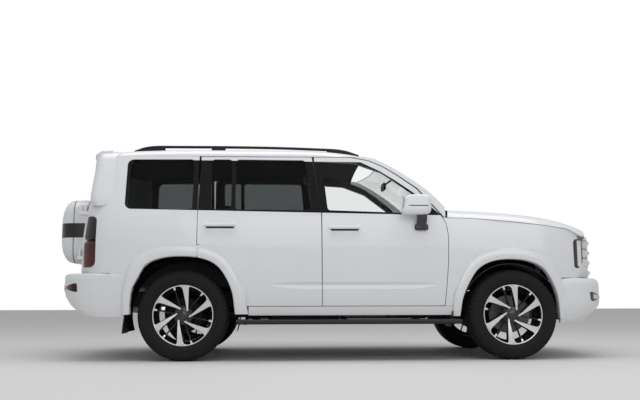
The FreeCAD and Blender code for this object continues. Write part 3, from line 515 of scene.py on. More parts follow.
def operation(name: str, flipped: bool = False) -> Callable[..., "Val"]:
    """Make a method of Val that adds one Math node.

    Args:
        name: The node's operation.
        flipped: The other value comes first.

    Returns:
        The method, which takes at most one other value or link.
    """

    def method(self: "Val", *others: object) -> "Val":
        """Add the node and wrap its result.

        Args:
            others: What the operation takes besides this value.

        Returns:
            The result.
        """
        values = (*others, self) if flipped else (self, *others)
        node = self.shader.node("ShaderNodeMath", {"operation": name}, dict(enumerate(values)))
        return Val(self.shader, node.outputs[0])

    return method


@dataclass(frozen=True, eq=False)
class Val:
    """A number socket that takes part in Python arithmetic."""

    shader: "Shader"
    socket: bpy.types.NodeSocket

    __add__ = __radd__ = operation("ADD")
    __mul__ = __rmul__ = operation("MULTIPLY")
    __sub__ = operation("SUBTRACT")
    __rsub__ = operation("SUBTRACT", flipped=True)
    __truediv__ = operation("DIVIDE")
    power = operation("POWER")
    root = operation("SQRT")
    least = operation("MINIMUM")
    most = operation("MAXIMUM")
    sine = operation("SINE")
    size = operation("ABSOLUTE")

    def between(self, low: float, high: float) -> "Val":
        """A smooth step from 0 at low to 1 at high.

        Args:
            low: Where the step starts.
            high: Where it ends.

        Returns:
            The step.
        """
        node = self.shader.node("ShaderNodeMapRange", {"interpolation_type": "SMOOTHSTEP"},
                                {"Value": self, "From Min": low, "From Max": high})
        return Val(self.shader, node.outputs[0])


class Shader:
    """One material and the nodes that are added to it."""

    def __init__(self, name: str) -> None:
        """Make an empty material with a Principled surface.

        Args:
            name: The material's name.
        """
        self.material = bpy.data.materials.new(name)
        self.material.use_nodes = True
        self.tree = self.material.node_tree
        self.surface = self.tree.nodes["Principled BSDF"]

    def node(self, kind: str, settings: dict[str, object] | None = None,
             sockets: dict[object, object] | None = None) -> bpy.types.Node:
        """Add any node.

        Args:
            kind: The node's type name.
            settings: Properties set first; the key stops gives a ramp's (place, colour) pairs.
            sockets: Values or links by socket name or number.

        Returns:
            The new node.
        """
        node = self.tree.nodes.new(kind)
        settings = dict(settings or {})
        stops = settings.pop("stops", ())
        for key, value in settings.items():
            setattr(node, key, value)
        if stops:
            elements = node.color_ramp.elements
            while len(elements) < len(stops):
                elements.new(0.5)
            for element, (place, colour) in zip(elements, stops):
                element.position = place
                element.color = (*colour, 1.0)
        for key, value in (sockets or {}).items():
            self.set(node.inputs[key], value)
        return node

    def set(self, socket: bpy.types.NodeSocket, value: object) -> None:
        """Link or write one socket.

        Args:
            socket: The input.
            value: A node's result, a number or a colour.
        """
        if isinstance(value, Val):
            value = value.socket
        if isinstance(value, bpy.types.NodeSocket):
            self.tree.links.new(value, socket)
        elif isinstance(value, tuple) and len(value) == 3 and socket.type == "RGBA":
            socket.default_value = (*value, 1.0)
        else:
            socket.default_value = value

    def place(self) -> bpy.types.NodeSocket:
        """The Object coordinates, in metres."""
        return self.node("ShaderNodeTexCoord").outputs["Object"]

    def axes(self) -> tuple[Val, ...]:
        """The Object coordinates as three numbers."""
        split = self.node("ShaderNodeSeparateXYZ", sockets={0: self.place()})
        return tuple(Val(self, output) for output in split.outputs)

    def noise(self, scale: float, detail: float = 2.0, stretch: Triple = (1, 1, 1)) -> Val:
        """Noise over the Object coordinates, with a stretch along each axis.

        Args:
            scale: How fine it is.
            detail: How many finer layers it has.
            stretch: The three stretches.

        Returns:
            The noise, from 0 to 1.
        """
        mapped = self.node("ShaderNodeMapping", {}, {"Vector": self.place(), "Scale": stretch})
        node = self.node("ShaderNodeTexNoise", {}, {"Vector": mapped.outputs[0], "Scale": scale,
                                                    "Detail": detail})
        return Val(self, node.outputs["Fac"])

    def blend(self, mask: Val, low: object, high: object) -> bpy.types.NodeSocket:
        """Mix two colours by a mask."""
        node = self.node("ShaderNodeMix", {"data_type": "RGBA"}, {"Factor": mask, 6: low, 7: high})
        return node.outputs[2]

    def clouded(self, mask: Val, colour: Colour, share: float) -> bpy.types.NodeSocket:
        """A colour that a mask darkens to a share of itself."""
        return self.blend(mask, tuple(c * share for c in colour), colour)

    def bump(self, height: Val, strength: float, distance: float,
             rounding: float = 0.0) -> bpy.types.NodeSocket:
        """Turn a height into a normal, over one that rounds every edge by a radius in metres.

        Args:
            height: The height.
            strength: How strong the relief looks.
            distance: The relief's depth in metres.
            rounding: The radius of the edges.

        Returns:
            The normal's socket.
        """
        sockets = {"Height": height, "Strength": strength, "Distance": distance}
        if rounding:
            bevel = self.node("ShaderNodeBevel", {"samples": 4}, {"Radius": rounding})
            sockets["Normal"] = bevel.outputs[0]
        return self.node("ShaderNodeBump", {}, sockets).outputs[0]

    def finish(self, **values: object) -> bpy.types.Material:
        """Set the surface's sockets, underscores standing for spaces in their names.

        Args:
            values: What each socket gets.

        Returns:
            The material.
        """
        for key, value in values.items():
            self.set(self.surface.inputs[key.replace("_", " ")], value)
        return self.material


@dataclass(frozen=True)
class BodyPaint:
    """White enamel under clear lacquer, with rounded panel edges and road film low down."""

    name: str = "white_enamel"
    colour: Colour = (0.70, 0.715, 0.735)
    shade: Colour = (0.66, 0.675, 0.70)
    film: Colour = (0.56, 0.555, 0.54)
    edge: float = 0.0035
    sheen: float = 0.5

    def masks(self, paint: Shader) -> list[tuple[Val, Colour, float]]:
        """The masked areas over the enamel: none here.

        Args:
            paint: The material being made; not used here.

        Returns:
            For each area its mask, colour and roughness.
        """
        return []

    def make(self) -> bpy.types.Material:
        """Build the material.

        Returns:
            The material.
        """
        paint = Shader(self.name)
        cloud = paint.noise(1.3, 3)
        low = paint.axes()[2].between(0.55, 0.30) * paint.noise(6, 4).between(0.35, 0.8) * 0.35
        colour = paint.blend(low, paint.blend(cloud, self.shade, self.colour), self.film)
        roughness = 0.24 + 0.08 * cloud + 0.2 * low
        coat = 0.6
        for mask, tone, rough in self.masks(paint):
            colour = paint.blend(mask, colour, tone)
            roughness = roughness + mask * (rough - roughness)
            coat = coat * (1 - 0.95 * mask)
        return paint.finish(
            Base_Color=colour, Roughness=roughness, Coat_Weight=coat, Coat_Roughness=0.04,
            Specular_IOR_Level=self.sheen,
            Normal=paint.bump(paint.noise(900, 1), 0.02, 0.0003, self.edge))


@dataclass(frozen=True)
class SidePaint(BodyPaint):
    """Enamel of the doors and quarters, with the gloss black band around the windows.

    The band is bounded by straight lines: each row of tops is a height near the band's rear end and
    a slope, and the band lies below them all. Its rear corners have a radius. Deeper than a panel's
    thickness behind the skin the finish is dark cabin trim.
    """

    name: str = "side_enamel"
    origin: float = -1.8
    rear: float = -1.797
    corner: float = 0.055
    low: tuple[float, float] = (1.300, -0.0184)
    tops: tuple[tuple[float, float], ...] = (
        (1.751, -0.0076), (2.7297, -0.48305), (3.0836, -0.6417), (3.2503, -0.7126),
        (3.6564, -0.8739))
    black: Colour = (0.0035, 0.0035, 0.004)
    trim: Colour = (0.012, 0.012, 0.013)
    trim_back: float = -1.84
    depth: float = 0.036
    blur: float = 0.0006
    sheen: float = 0.25

    def masks(self, paint: Shader) -> list[tuple[Val, Colour, float]]:
        """The band by distance from its inner outline, then the inner trim by depth.

        Args:
            paint: The material being built.

        Returns:
            Each mask with its colour and roughness.
        """
        x, y, z = paint.axes()
        run = x - self.origin
        lines = [height + slope * run for height, slope in (self.low, *self.tops)]
        top = lines[1]
        for line in lines[2:]:
            top = top.least(line)
        beyond = (z - (top - self.corner)).most(lines[0] + self.corner - z).most(0.0)
        behind = (self.rear + self.corner - x).most(0.0)
        distance = (beyond.power(2) + behind.power(2)).root()
        band = distance.between(self.corner + self.blur, self.corner - self.blur)
        tuck = (SHOULDER_Z - z).most(0.0) / TUCK_FALL
        bend = z.most(SHOULDER_Z).least(BELT_Z) - SHOULDER_Z
        half = (HALF_WIDTH - TUCK * tuck.power(3) - BEND * bend.power(2)
                - LEAN * (z - BELT_Z).most(0.0))
        inside = ((half - y.size()).between(self.depth, self.depth + 0.004)
                  * x.between(self.trim_back, self.trim_back + 0.02))
        return [(band, self.black, 0.06), (inside, self.trim, 0.55)]


@dataclass(frozen=True)
class CasePaint(BodyPaint):
    """Enamel of the spare wheel's case, with a black band across it and a dark seam around it."""

    name: str = "case_enamel"
    band: tuple[float, float] = (1.092, 1.226)
    seam: float = -2.368
    blur: float = 0.001

    def masks(self, paint: Shader) -> list[tuple[Val, Colour, float]]:
        """The band between two heights and the seam at one station.

        Args:
            paint: The material being built.

        Returns:
            Each mask with its colour and roughness.
        """
        x, _, z = paint.axes()
        low, high = self.band
        band = z.between(low, low + self.blur) * z.between(high + self.blur, high)
        seam = (x - self.seam).size().between(0.0035, 0.0025)
        return [(band, (0.012, 0.012, 0.013), 0.3), (seam, (0.02, 0.02, 0.02), 0.6)]


@dataclass(frozen=True)
class Moulding:
    """Moulded plastic or rubber with a fine grain."""

    name: str
    colour: Colour
    roughness: float = 0.55
    grain: float = 0.25
    grain_scale: float = 1400
    coat: float = 0.0
    sheen: float = 0.5

    def make(self) -> bpy.types.Material:
        """Build the material.

        Returns:
            The material.
        """
        skin = Shader(self.name)
        cloud = skin.noise(9, 3)
        return skin.finish(
            Base_Color=skin.clouded(cloud, self.colour, 0.8),
            Roughness=(self.roughness - 0.05) + 0.1 * cloud,
            Normal=skin.bump(skin.noise(self.grain_scale, 2), self.grain, 0.0004, 0.0025),
            Coat_Weight=self.coat, Coat_Roughness=0.03, Specular_IOR_Level=self.sheen)


@dataclass(frozen=True)
class Metal:
    """Bare or machined metal with faint turning marks."""

    name: str
    colour: Colour
    roughness: float = 0.3
    streak: Triple = (60, 4, 60)

    def make(self) -> bpy.types.Material:
        """Build the material.

        Returns:
            The material.
        """
        metal = Shader(self.name)
        marks = metal.noise(12, 4, self.streak)
        return metal.finish(
            Base_Color=metal.clouded(marks, self.colour, 0.85), Metallic=1.0,
            Roughness=(self.roughness - 0.08) + 0.16 * marks,
            Normal=metal.bump(marks, 0.08, 0.0004, 0.002))


@dataclass(frozen=True)
class Glazing:
    """Tinted window glass, which may have a darker tint behind a station."""

    name: str
    tint: Colour
    tint_behind: Colour | None = None
    change: float = -0.5
    roughness: float = 0.02

    def make(self) -> bpy.types.Material:
        """Build the material.

        Returns:
            The material.
        """
        glass = Shader(self.name)
        ahead = glass.axes()[0].between(self.change - 0.01, self.change + 0.01)
        return glass.finish(
            Base_Color=glass.blend(ahead, self.tint_behind or self.tint, self.tint),
            Roughness=self.roughness + 0.01 * glass.noise(3, 2), Transmission_Weight=1.0, IOR=1.2)


@dataclass(frozen=True)
class Cloth:
    """Woven cloth: two crossed sines as thread, with a soft sheen."""

    name: str
    colour: Colour
    thread: float = 900.0
    depth: float = 0.5

    def make(self) -> bpy.types.Material:
        """Build the material.

        Returns:
            The material.
        """
        cloth = Shader(self.name)
        x, y, z = cloth.axes()
        weave = ((x + z) * self.thread).sine() * ((y + 0.4 * z) * self.thread).sine()
        return cloth.finish(
            Base_Color=cloth.clouded(cloth.noise(14, 3), self.colour, 0.7),
            Roughness=0.8 + 0.1 * weave, Sheen_Weight=0.25,
            Normal=cloth.bump(weave, self.depth, 0.0005))


@dataclass(frozen=True)
class LampLens:
    """A lamp behind a smooth cover: fine upright ribs under a clear coat, with a faint glow.

    The colour runs through a ramp of heights, so that one cover can be dark at its top and red
    below.
    """

    name: str
    stops: tuple[tuple[float, Colour], ...]
    heights: tuple[float, float]
    ribs: float = 500.0
    glow: float = 0.0
    coat: float = 0.3

    def make(self) -> bpy.types.Material:
        """Build the material.

        Returns:
            The material.
        """
        lens = Shader(self.name)
        x, y, z = lens.axes()
        low, high = self.heights
        share = (z - low) / (high - low)
        colour = lens.node("ShaderNodeValToRGB", {"stops": self.stops}, {0: share}).outputs[0]
        ribs = ((x + y) * self.ribs).sine()
        return lens.finish(
            Base_Color=colour, Roughness=0.10 + 0.02 * ribs, Coat_Weight=self.coat,
            Coat_Roughness=0.02, Specular_IOR_Level=0.3, Emission_Color=colour,
            Emission_Strength=self.glow, Normal=lens.bump(ribs, 0.1, 0.0006, 0.003))


@dataclass(frozen=True)
class Perforated:
    """Dark mesh: rows of holes drawn by two sines, every other row set over."""

    name: str
    colour: Colour = (0.02, 0.02, 0.021)
    hole: Colour = (0.001, 0.001, 0.001)
    pitch: float = 0.012

    def make(self) -> bpy.types.Material:
        """Build the material.

        Returns:
            The material.
        """
        mesh = Shader(self.name)
        _, y, z = mesh.axes()
        turn = 2 * math.pi / self.pitch
        holes = ((y + z * 0.5) * turn).sine() * (z * turn).sine()
        mask = holes.between(0.1, 0.35)
        return mesh.finish(Base_Color=mesh.blend(mask, self.colour, self.hole),
                           Roughness=0.4 + 0.4 * mask, Normal=mesh.bump(holes, 0.8, 0.002))


@dataclass
class Finishes:
    """Every finish, built once and asked for by name."""

    made: dict[str, bpy.types.Material] = field(default_factory=dict)

    def build(self) -> None:
        """Make the materials."""
        smoke, pale = (0.25, 0.265, 0.265), (0.5, 0.51, 0.53)
        finishes = (
            BodyPaint(), SidePaint(), SidePaint("pillar_enamel", depth=0.5), CasePaint(),
            Moulding("black_trim", (0.010, 0.010, 0.011), 0.5, sheen=0.4),
            Moulding("satin_black", (0.004, 0.004, 0.0045), 0.4, 0.1, sheen=0.3),
            Moulding("gloss_black", (0.006, 0.006, 0.007), 0.08, 0.0, coat=0.8),
            Moulding("tyre_rubber", (0.007, 0.007, 0.0075), 0.8, 0.3, 700, sheen=0.3),
            Moulding("liner_felt", (0.003, 0.003, 0.003), 0.95, 0.5, 300, sheen=0.1),
            Moulding("chassis_coating", (0.007, 0.007, 0.0075), 0.6, 0.35, 500, sheen=0.3),
            Moulding("reflector_red", (0.16, 0.006, 0.006), 0.12, 0.1, 300, coat=0.9),
            Moulding("plate_white", (0.6, 0.6, 0.6), 0.35, 0.05, 300),
            Moulding("mirror_glass", (0.35, 0.36, 0.38), 0.04, 0.0, 300, coat=1.0),
            Moulding("light_strip", (0.75, 0.76, 0.78), 0.25, 0.1, 300, coat=0.8),
            Moulding("headliner", (0.045, 0.045, 0.048), 0.9, 0.4, 900),
            Moulding("dark_alloy", (0.010, 0.010, 0.011), 0.28, 0.1, 500, coat=0.5),
            Cloth("seat_cloth", (0.030, 0.029, 0.029)),
            LampLens("tail_lens", ((0.0, (0.09, 0.002, 0.002)), (0.42, (0.05, 0.002, 0.002)),
                                   (0.55, (0.012, 0.006, 0.006)), (1.0, (0.016, 0.010, 0.011))),
                     (0.80, 1.24)),
            LampLens("clear_lens", ((0.0, pale), (0.5, (0.62, 0.63, 0.65)), (1.0, pale)),
                     (0.5, 1.04), 320.0, 0.05),
            Perforated("dark_mesh"),
            Metal("bright_alloy", (0.80, 0.80, 0.81), 0.24, (30, 30, 30)),
            Metal("brushed_skid", (0.45, 0.45, 0.46), 0.35),
            Metal("brake_iron", (0.14, 0.14, 0.145), 0.45),
            Metal("weathered_steel", (0.22, 0.20, 0.185), 0.5, (6, 6, 6)),
            Glazing("privacy_glass", smoke),
            Glazing("clear_glass", (0.88, 0.90, 0.89), smoke),
        )
        self.made = {finish.name: finish.make() for finish in finishes}

    def __getitem__(self, name: str) -> bpy.types.Material:
        """The finish of that name."""
        return self.made[name]

    def dress(self, name: str, node: bpy.types.Object) -> None:
        """Put one finish on a CAD node."""
        node.data.materials.clear()
        node.data.materials.append(self.made[name])


@dataclass
class Assembly:
    """A group of pieces that share the car's finishes."""

    finishes: Finishes

    def add(self, form: Form, name: str, body: str, slot: str, finishes: str = "",
            sharp_deg: float = 35, stands_for: Sequence[str] = ()) -> bpy.types.Object:
        """Make a form one piece of the car.

        Args:
            form: Its surfaces.
            name: Its name.
            body: The body that carries it.
            slot: The record's material slot.
            finishes: Names of its finishes by finish number; white enamel where none is given.
            sharp_deg: Edges that turn more than this stay sharp.
            stands_for: CAD nodes that it replaces.

        Returns:
            The new object.
        """
        names = finishes.split() or ["white_enamel"]
        return form.piece(name, body, slot, [self.finishes[n] for n in names], sharp_deg,
                          stands_for)


# Wheels


@dataclass
class Wheel(Assembly):
    """One road wheel: tyre, rim, spokes and hub, drawn about its own axle.

    Places on it are a radius, a turn seen from outside with 0 pointing right, and a distance
    outwards from the wheel's middle plane.
    """

    side: Side
    rear: bool
    spokes: int = 6
    nuts: int = 5
    nut_circle: float = 0.052
    rib_turn_deg: float = 18.4
    rim_radius: float = 0.262
    face: float = 0.1065
    tyre_radius: float = 0.387
    half_tyre: float = 0.1325
    pitches: int = 60
    groove: float = 0.008
    cut: float = 0.0065

    @property
    def name(self) -> str:
        """The wheel's corner of the car."""
        return f"{'rear' if self.rear else 'front'}_{self.side.word}"

    def spot(self, radius: Number, turn: Number, out: Number) -> Points:
        """Points of the car from radii, turns in radians and distances outwards.

        Args:
            radius: Distances from the axle.
            turn: Turns in radians.
            out: Distances outwards from the middle plane.

        Returns:
            The points.
        """
        axle = REAR_AXLE if self.rear else FRONT_AXLE
        return spots(axle - self.side.value * radius * np.cos(turn),
                     self.side.value * (HALF_TRACK + out), AXLE_Z + radius * np.sin(turn))

    def turned(self, profile: Sequence[Sequence[float]], count: int = 64) -> Points:
        """Rings about the axle, one at each radius and outward distance of a profile.

        Args:
            profile: Pairs of a radius and a distance outwards.
            count: Points on each ring.

        Returns:
            The rings, in the profile's order.
        """
        radius, out = np.asarray(profile, float).T[..., None]
        return self.spot(radius, np.linspace(0, 2 * np.pi, count, endpoint=False), out)

    def tyre(self) -> None:
        """The tyre: a closed section turned about the axle, its tread cut by four running grooves
        and by cross grooves once a pitch, its walls with thin raised rings."""
        half, top = self.half_tyre, self.tyre_radius
        wall = [(0.098, top - 0.003), (0.112, top - 0.011), (0.121, top - 0.022),
                (half - 0.010, top - 0.034), (half - 0.0025, top - 0.045),
                (half - 0.0030, top - 0.048), (half - 0.0016, top - 0.056), (half, top - 0.072),
                (half - 0.0022, top - 0.075), (half - 0.0026, top - 0.081),
                (half - 0.0006, top - 0.084), (half - 0.004, top - 0.100),
                (half - 0.011, top - 0.114), (half - 0.018, self.rim_radius + 0.004),
                (half - 0.026, self.rim_radius - 0.004)]
        grooves = [(middle + across, top - fall) for middle in (-0.072, -0.025, 0.025, 0.072)
                   for across, fall in ((-0.0051, 0), (-0.0045, self.groove),
                                        (0.0045, self.groove), (0.0051, 0))]
        inner = [(-width, radius) for width, radius in reversed(wall)]
        width, radius = np.array(inner + grooves + wall).T
        steps = np.array([0.0, 0.12, 0.16, 0.5, 0.84, 0.88])
        turn = (np.arange(self.pitches)[:, None] + steps).reshape(-1, 1) * 2 * np.pi / self.pitches
        cut = np.tile([1.0, 1.0, 0.0, 0.0, 0.0, 1.0], self.pitches)[:, None]
        shoulder = smooth_step((np.abs(width) - 0.074) / 0.004) * (np.abs(width) < half - 0.002)
        middle = np.abs(width) < 0.02
        fade = np.clip((radius - (top - 0.036)) / 0.012, 0, 1)
        depth = self.cut * cut * np.clip(shoulder + 0.6 * middle, 0, 1) * fade
        slant = 0.35 * width / top
        form = Form()
        form.grid(self.spot(radius - depth, turn + slant, width), tube=True)
        self.add(form, f"tyre_{self.name}_tread", f"wheel_{self.name}", "tyre_rubber",
                 "tyre_rubber", 25, [f"tyre_{self.name}"])

    def rim(self) -> None:
        """The rim: barrel with a bright lip, twisted spokes, stubs and ribs, and a hub with its
        cap."""
        lip, face = self.rim_radius, self.face
        barrel = [(lip, 0.098), (lip, face - 0.001), (lip - 0.0015, face), (lip - 0.0105, face),
                  (lip - 0.0125, face - 0.002), (lip - 0.016, face - 0.030), (lip - 0.027, 0.035),
                  (lip - 0.034, -0.02), (lip - 0.030, -0.085), (lip - 0.012, -0.098),
                  (lip, -0.1065), (lip, -0.112), (lip - 0.006, -0.112), (lip - 0.018, -0.104),
                  (lip - 0.036, -0.088), (lip - 0.040, -0.02), (lip - 0.034, 0.03),
                  (lip - 0.022, 0.07), (lip - 0.014, 0.088)]
        form = Form()
        marks = (np.arange(len(barrel)) > 3).astype(int)
        form.grid(self.turned(barrel, 144), marks[:, None], tube=True)
        dish = [(0.0, 0.060), (0.062, 0.060), (0.066, 0.064), (0.066, 0.088), (0.063, 0.0925),
                (0.040, 0.0945), (0.0385, 0.0925), (0.037, 0.0985), (0.030, 0.101), (0.0, 0.102)]
        back = [(0.0, 0.020), (0.080, 0.020), (0.085, 0.030), (0.080, 0.062), (0.0, 0.062)]
        for profile in (dish, back):
            form.grid(self.turned(profile), 1)
        for turn in np.arange(self.spokes) * 2 * np.pi / self.spokes + np.pi / 2:
            self.spoke(form, turn)
        for turn in (np.arange(self.nuts) + 0.5) * 2 * np.pi / self.nuts:
            self.nut(form, turn)
        self.add(form, f"rim_{self.name}_spokes", f"wheel_{self.name}", "rim_metal",
                 "bright_alloy dark_alloy", 30, [f"rim_{self.name}"])

    def beam(self, form: Form, turn: float, rows: Points, section: tuple[float, float, float],
             bright: int) -> None:
        """A bar outwards from the hub, wider at its back than at its face.

        Args:
            form: The rim so far.
            turn: The bar's turn.
            rows: Height along the bar, its two edges clockwise seen from outside, and its face.
            section: Width of its chamfer, what its back adds on each side, and its depth.
            bright: The row from which its face is bright.
        """
        height, left, right, face = rows.T[..., None]
        chamfer, spread, deep = section
        across = np.hstack([left + chamfer, right - chamfer, right, right + spread,
                            left - spread, left])
        out = np.hstack([face, face, face - 0.002, face - deep, face - deep, face - 0.002])
        marks = np.ones((len(rows) - 1, 6), int)
        marks[bright:, 0] = 0
        rings = self.spot(np.hypot(height, across), turn - np.arctan2(across, height), out)
        form.solid(rings, marks)

    def spoke(self, form: Form, turn: float) -> None:
        """One spoke offset to one side of the axle, and the rib with its bright stub beside it.

        Args:
            form: The rim so far.
            turn: The spoke's turn.
        """
        rows = np.array([
            (0.040, 0.0275, 0.0445, 0.0935), (0.070, 0.0265, 0.0450, 0.0950),
            (0.110, 0.0190, 0.0460, 0.0990), (0.160, 0.0080, 0.0465, 0.1025),
            (0.205, -0.0020, 0.0470, 0.1045), (0.228, -0.0090, 0.0480, 0.1052),
            (0.240, -0.0165, 0.0510, 0.1056), (0.247, -0.0260, 0.0570, 0.1058),
            (0.252, -0.0400, 0.0660, 0.1058)])
        radius = rows[:, 0].copy()
        rows[:, 0] = np.where(radius > 0.245, radius - 0.004,
                              np.sqrt(np.clip(radius ** 2 - (rows[:, 2] * 0.35) ** 2, 1e-6, None)))
        self.beam(form, turn, rows, (0.0015, 0.006, 0.045), 0)
        rib = np.array([(0.050, 0.003, 0.088), (0.150, 0.003, 0.094), (0.215, 0.0035, 0.0985),
                        (0.224, 0.0075, 0.1035), (0.236, 0.0090, 0.1052), (0.252, 0.0105, 0.1056)])
        rows = np.column_stack([rib[:, 0], -rib[:, 1], rib[:, 1], rib[:, 2]])
        self.beam(form, turn + math.radians(self.rib_turn_deg), rows, (0.001, 0.004, 0.030), 3)

    def nut(self, form: Form, turn: float) -> None:
        """One wheel nut: a six-sided boss on the hub.

        Args:
            form: The rim so far.
            turn: The nut's turn.
        """
        middle = self.nut_circle * np.array([math.cos(turn), math.sin(turn)])
        rings = []
        for radius, out in ((0.0085, 0.080), (0.0085, 0.0955), (0.006, 0.0985)):
            across, up = (middle + circle(radius, 6)).T
            rings.append(self.spot(np.hypot(across, up), np.arctan2(up, across), out))
        form.solid(np.stack(rings), 1)

    def build(self) -> None:
        """Build both pieces."""
        self.tyre()
        self.rim()


# Body


@dataclass
class Shell(Assembly):
    """The painted shell: roof with its lip, upper rear corners, hood, arch flares, and the lower
    rear of the rear doors next to the flares."""

    roof_half: float = 0.796
    roof_back: float = -2.088
    roof_front: float = 0.300
    roof_bend: float = -1.45
    roof_rim: float = 1.785
    roof_low: float = 1.7835
    roof_thick: float = 0.028
    hood_thick: float = 0.012
    corner_radius: float = 0.075
    gate_half: float = 0.742
    door_seam: float = -1.1635
    seam_gap: float = 0.0025

    def roof(self) -> None:
        """The roof: a U-shaped outline round the tail, drawn in to a spine. The height falls from
        the crown by a table of the share of the way out, not at all along the windscreen."""
        turn = np.linspace(0.0, np.pi / 2, 26)
        corner = np.stack([TAIL_START + (self.roof_back - TAIL_START) * np.sin(turn) ** TAIL_POWER,
                           self.roof_half * np.cos(turn) ** TAIL_POWER], -1)
        ahead = np.linspace(self.roof_front, self.roof_bend, 36)
        straight = np.stack([ahead, np.full_like(ahead, self.roof_half)], -1)
        half = np.vstack([straight, corner])
        outline = np.vstack([half, (half * [1, -1])[::-1][1:]])
        spine = np.maximum(outline * [1, 0], [self.roof_bend, 0])
        share = np.array([1.0, 1.0, 0.992, 0.98, 0.965, 0.93, 0.89, 0.8, 0.65, 0.45, 0.2, 0.0])
        drop = np.interp(share, [0, 0.2, 0.38, 0.72, 0.89, 0.93, 0.965, 0.985, 1.0],
                         [0, 0.01, 0.05, 0.19, 0.38, 0.47, 0.60, 0.76, 1.0])
        places = between(spine, outline, share)
        height = np.maximum(roof_crown(places[..., 0]) - ROOF_EDGE_DROP * drop, self.roof_rim)
        height[:, 0] = self.roof_low
        outer = np.dstack([places, height])
        inner = outer * [1, 0.985, 1] - [0, 0, self.roof_thick]
        inner[:, :2, 2] = self.roof_low
        form = Form()
        rings = np.concatenate([outer[:, ::-1], inner], 1)
        inside = np.arange(rings.shape[1] - 1) > len(share)
        form.grid(rings, inside.astype(int), wrap=False)
        form.seams(*((outer[end, ::-1], inner[end, ::-1]) for end in (0, -1)))
        self.add(form, "roof_skin", "body", "body_paint", "white_enamel headliner", 40, ["roof"])

    def lip(self) -> None:
        """The lip over the tailgate: the roof's tail drawn out to a rounded edge."""
        y = np.linspace(-0.745, 0.745, 51)
        reach = -2.076 - 0.108 * (1 - (np.abs(y) / 0.76) ** 2.6)
        base = TAIL_START - 0.560 * (1 - (np.abs(y) / 0.80) ** 5) ** 0.2
        share, height = np.array([(0.0, 1.840), (0.5, 1.832), (0.9, 1.820), (1.0, 1.808),
                                  (0.98, 1.797), (0.9, 1.792), (0.0, 1.788)]).T
        form = Form()
        form.solid(spots(base[:, None] + (reach - base)[:, None] * share, y[:, None], height))
        self.add(form, "roof_lip", "body", "body_paint", sharp_deg=40)

    def corner(self, side: Side) -> None:
        """The upper rear corner of a side: level rings from its skin round to the tailgate.

        Near the roof the rings draw in along a quarter ellipse, and at the foot by a square.

        Args:
            side: The side.
        """
        radius = self.corner_radius
        z = np.linspace(1.33, 1.834, 32)[:, None]
        crown = 0.060 * (1 - np.sqrt(1 - np.clip((z - 1.760) / 0.0745, 0, 1) ** 2))
        foot = np.clip((1.41 - z) / 0.08, 0, 1) ** 2
        half = -side_skin(-1.90, z)[..., 1] - crown - 0.012 * foot
        back = (-2.078 - 0.085 * (1.838 - z) + 0.10 * np.clip(1.44 - z, 0, None) + 0.6 * crown
                + 0.02 * foot)
        turn = np.linspace(0, np.pi / 2, 9)[None]
        level = np.ones_like(z)
        gate = self.gate_half * level
        x = np.hstack([-1.87 * level, -1.93 * level, back + radius * (1 - np.sin(turn)), back,
                       back + 0.05, -1.88 * level])
        y = np.hstack([half - 0.005, half + 0.0004, half - radius * (1 - np.cos(turn)), gate, gate,
                       half - 0.020])
        form = Form()
        form.solid(side.put(spots(x, -y, z)))
        self.add(form, f"rear_corner_{side.word}", "body", "body_paint", sharp_deg=40)

    def post_seal(self, side: Side) -> None:
        """The rubber behind the seam between a side's doors, along the middle post.

        Args:
            side: The side.
        """
        path = side_skin([-0.085, -0.137, -0.173, -0.180], [1.235, 1.516, 1.780, 1.805], -0.022)
        form = Form()
        form.bar(side.put(path), np.array(box(-0.002, -0.022, 0.002, 0.022)), (1, 0, 0))
        self.add(form, f"post_seal_{side.word}", "body", "black_trim", "black_trim")

    def hood(self) -> None:
        """The hood: rows from the scuttle to the nose, each bowed across, rolled down at the
        front, and nowhere below the seam over the wings."""
        run = np.concatenate([np.linspace(0, 0.9, 22), [0.94, 0.97, 0.99, 1.0, 1.0, 1.0, 1.0, 1.0]])
        roll = np.zeros((len(run), 2))
        roll[-4:] = [(0.010, -0.010), (0.017, -0.028), (0.020, -0.052), (0.020, -0.082)]
        share = np.array([1.0, 1.0, 0.994, 0.985, 0.97, 0.95, 0.92, 0.88, 0.8, 0.7, 0.55, 0.35,
                          0.15, 0.0])
        drop = np.interp(share, [0, 0.35, 0.70, 0.88, 0.95, 0.988, 1.0],
                         [0, -0.003, -0.013, -0.030, -0.052, -0.082, -0.104])
        drop[0] = -0.118
        share = np.concatenate([share, -share[-2::-1]])
        drop = np.concatenate([drop, drop[-2::-1]])
        edge = 0.918 - 0.075 * np.clip((run - 0.5) / 0.5, 0, None) ** 3
        bow = 1 - share ** 2
        back, ahead = 1.010 + 0.105 * bow, 2.245 + 0.130 * bow
        x = back + (ahead - back) * run[:, None] + roll[:, :1] * (0.4 + 0.6 * bow)
        crown = 1.335 - 0.062 * run - 0.118 * run ** 4
        z = crown[:, None] + drop + roll[:, 1:] * (1 - 0.35 * np.abs(share))
        seam = np.interp(x, [0.978, 1.234, 1.583, 1.891, 2.098, 2.185, 2.3],
                         [1.228, 1.223, 1.195, 1.161, 1.131, 1.085, 1.06]) + 0.003
        outer = spots(x, edge[:, None] * share, np.maximum(z, seam))
        inner = outer * [1, 0.985, 1] - [0, 0, self.hood_thick]
        inner[:, [0, -1]] = outer[:, [0, -1]] * [1, 0.985, 1]
        form = Form()
        form.grid(np.concatenate([outer, inner[:, ::-1]], 1))
        form.seams(*((outer[end], inner[end]) for end in (0, -1)))
        self.add(form, "hood_skin", "hood", "body_paint", "white_enamel", 40, ["hood"])

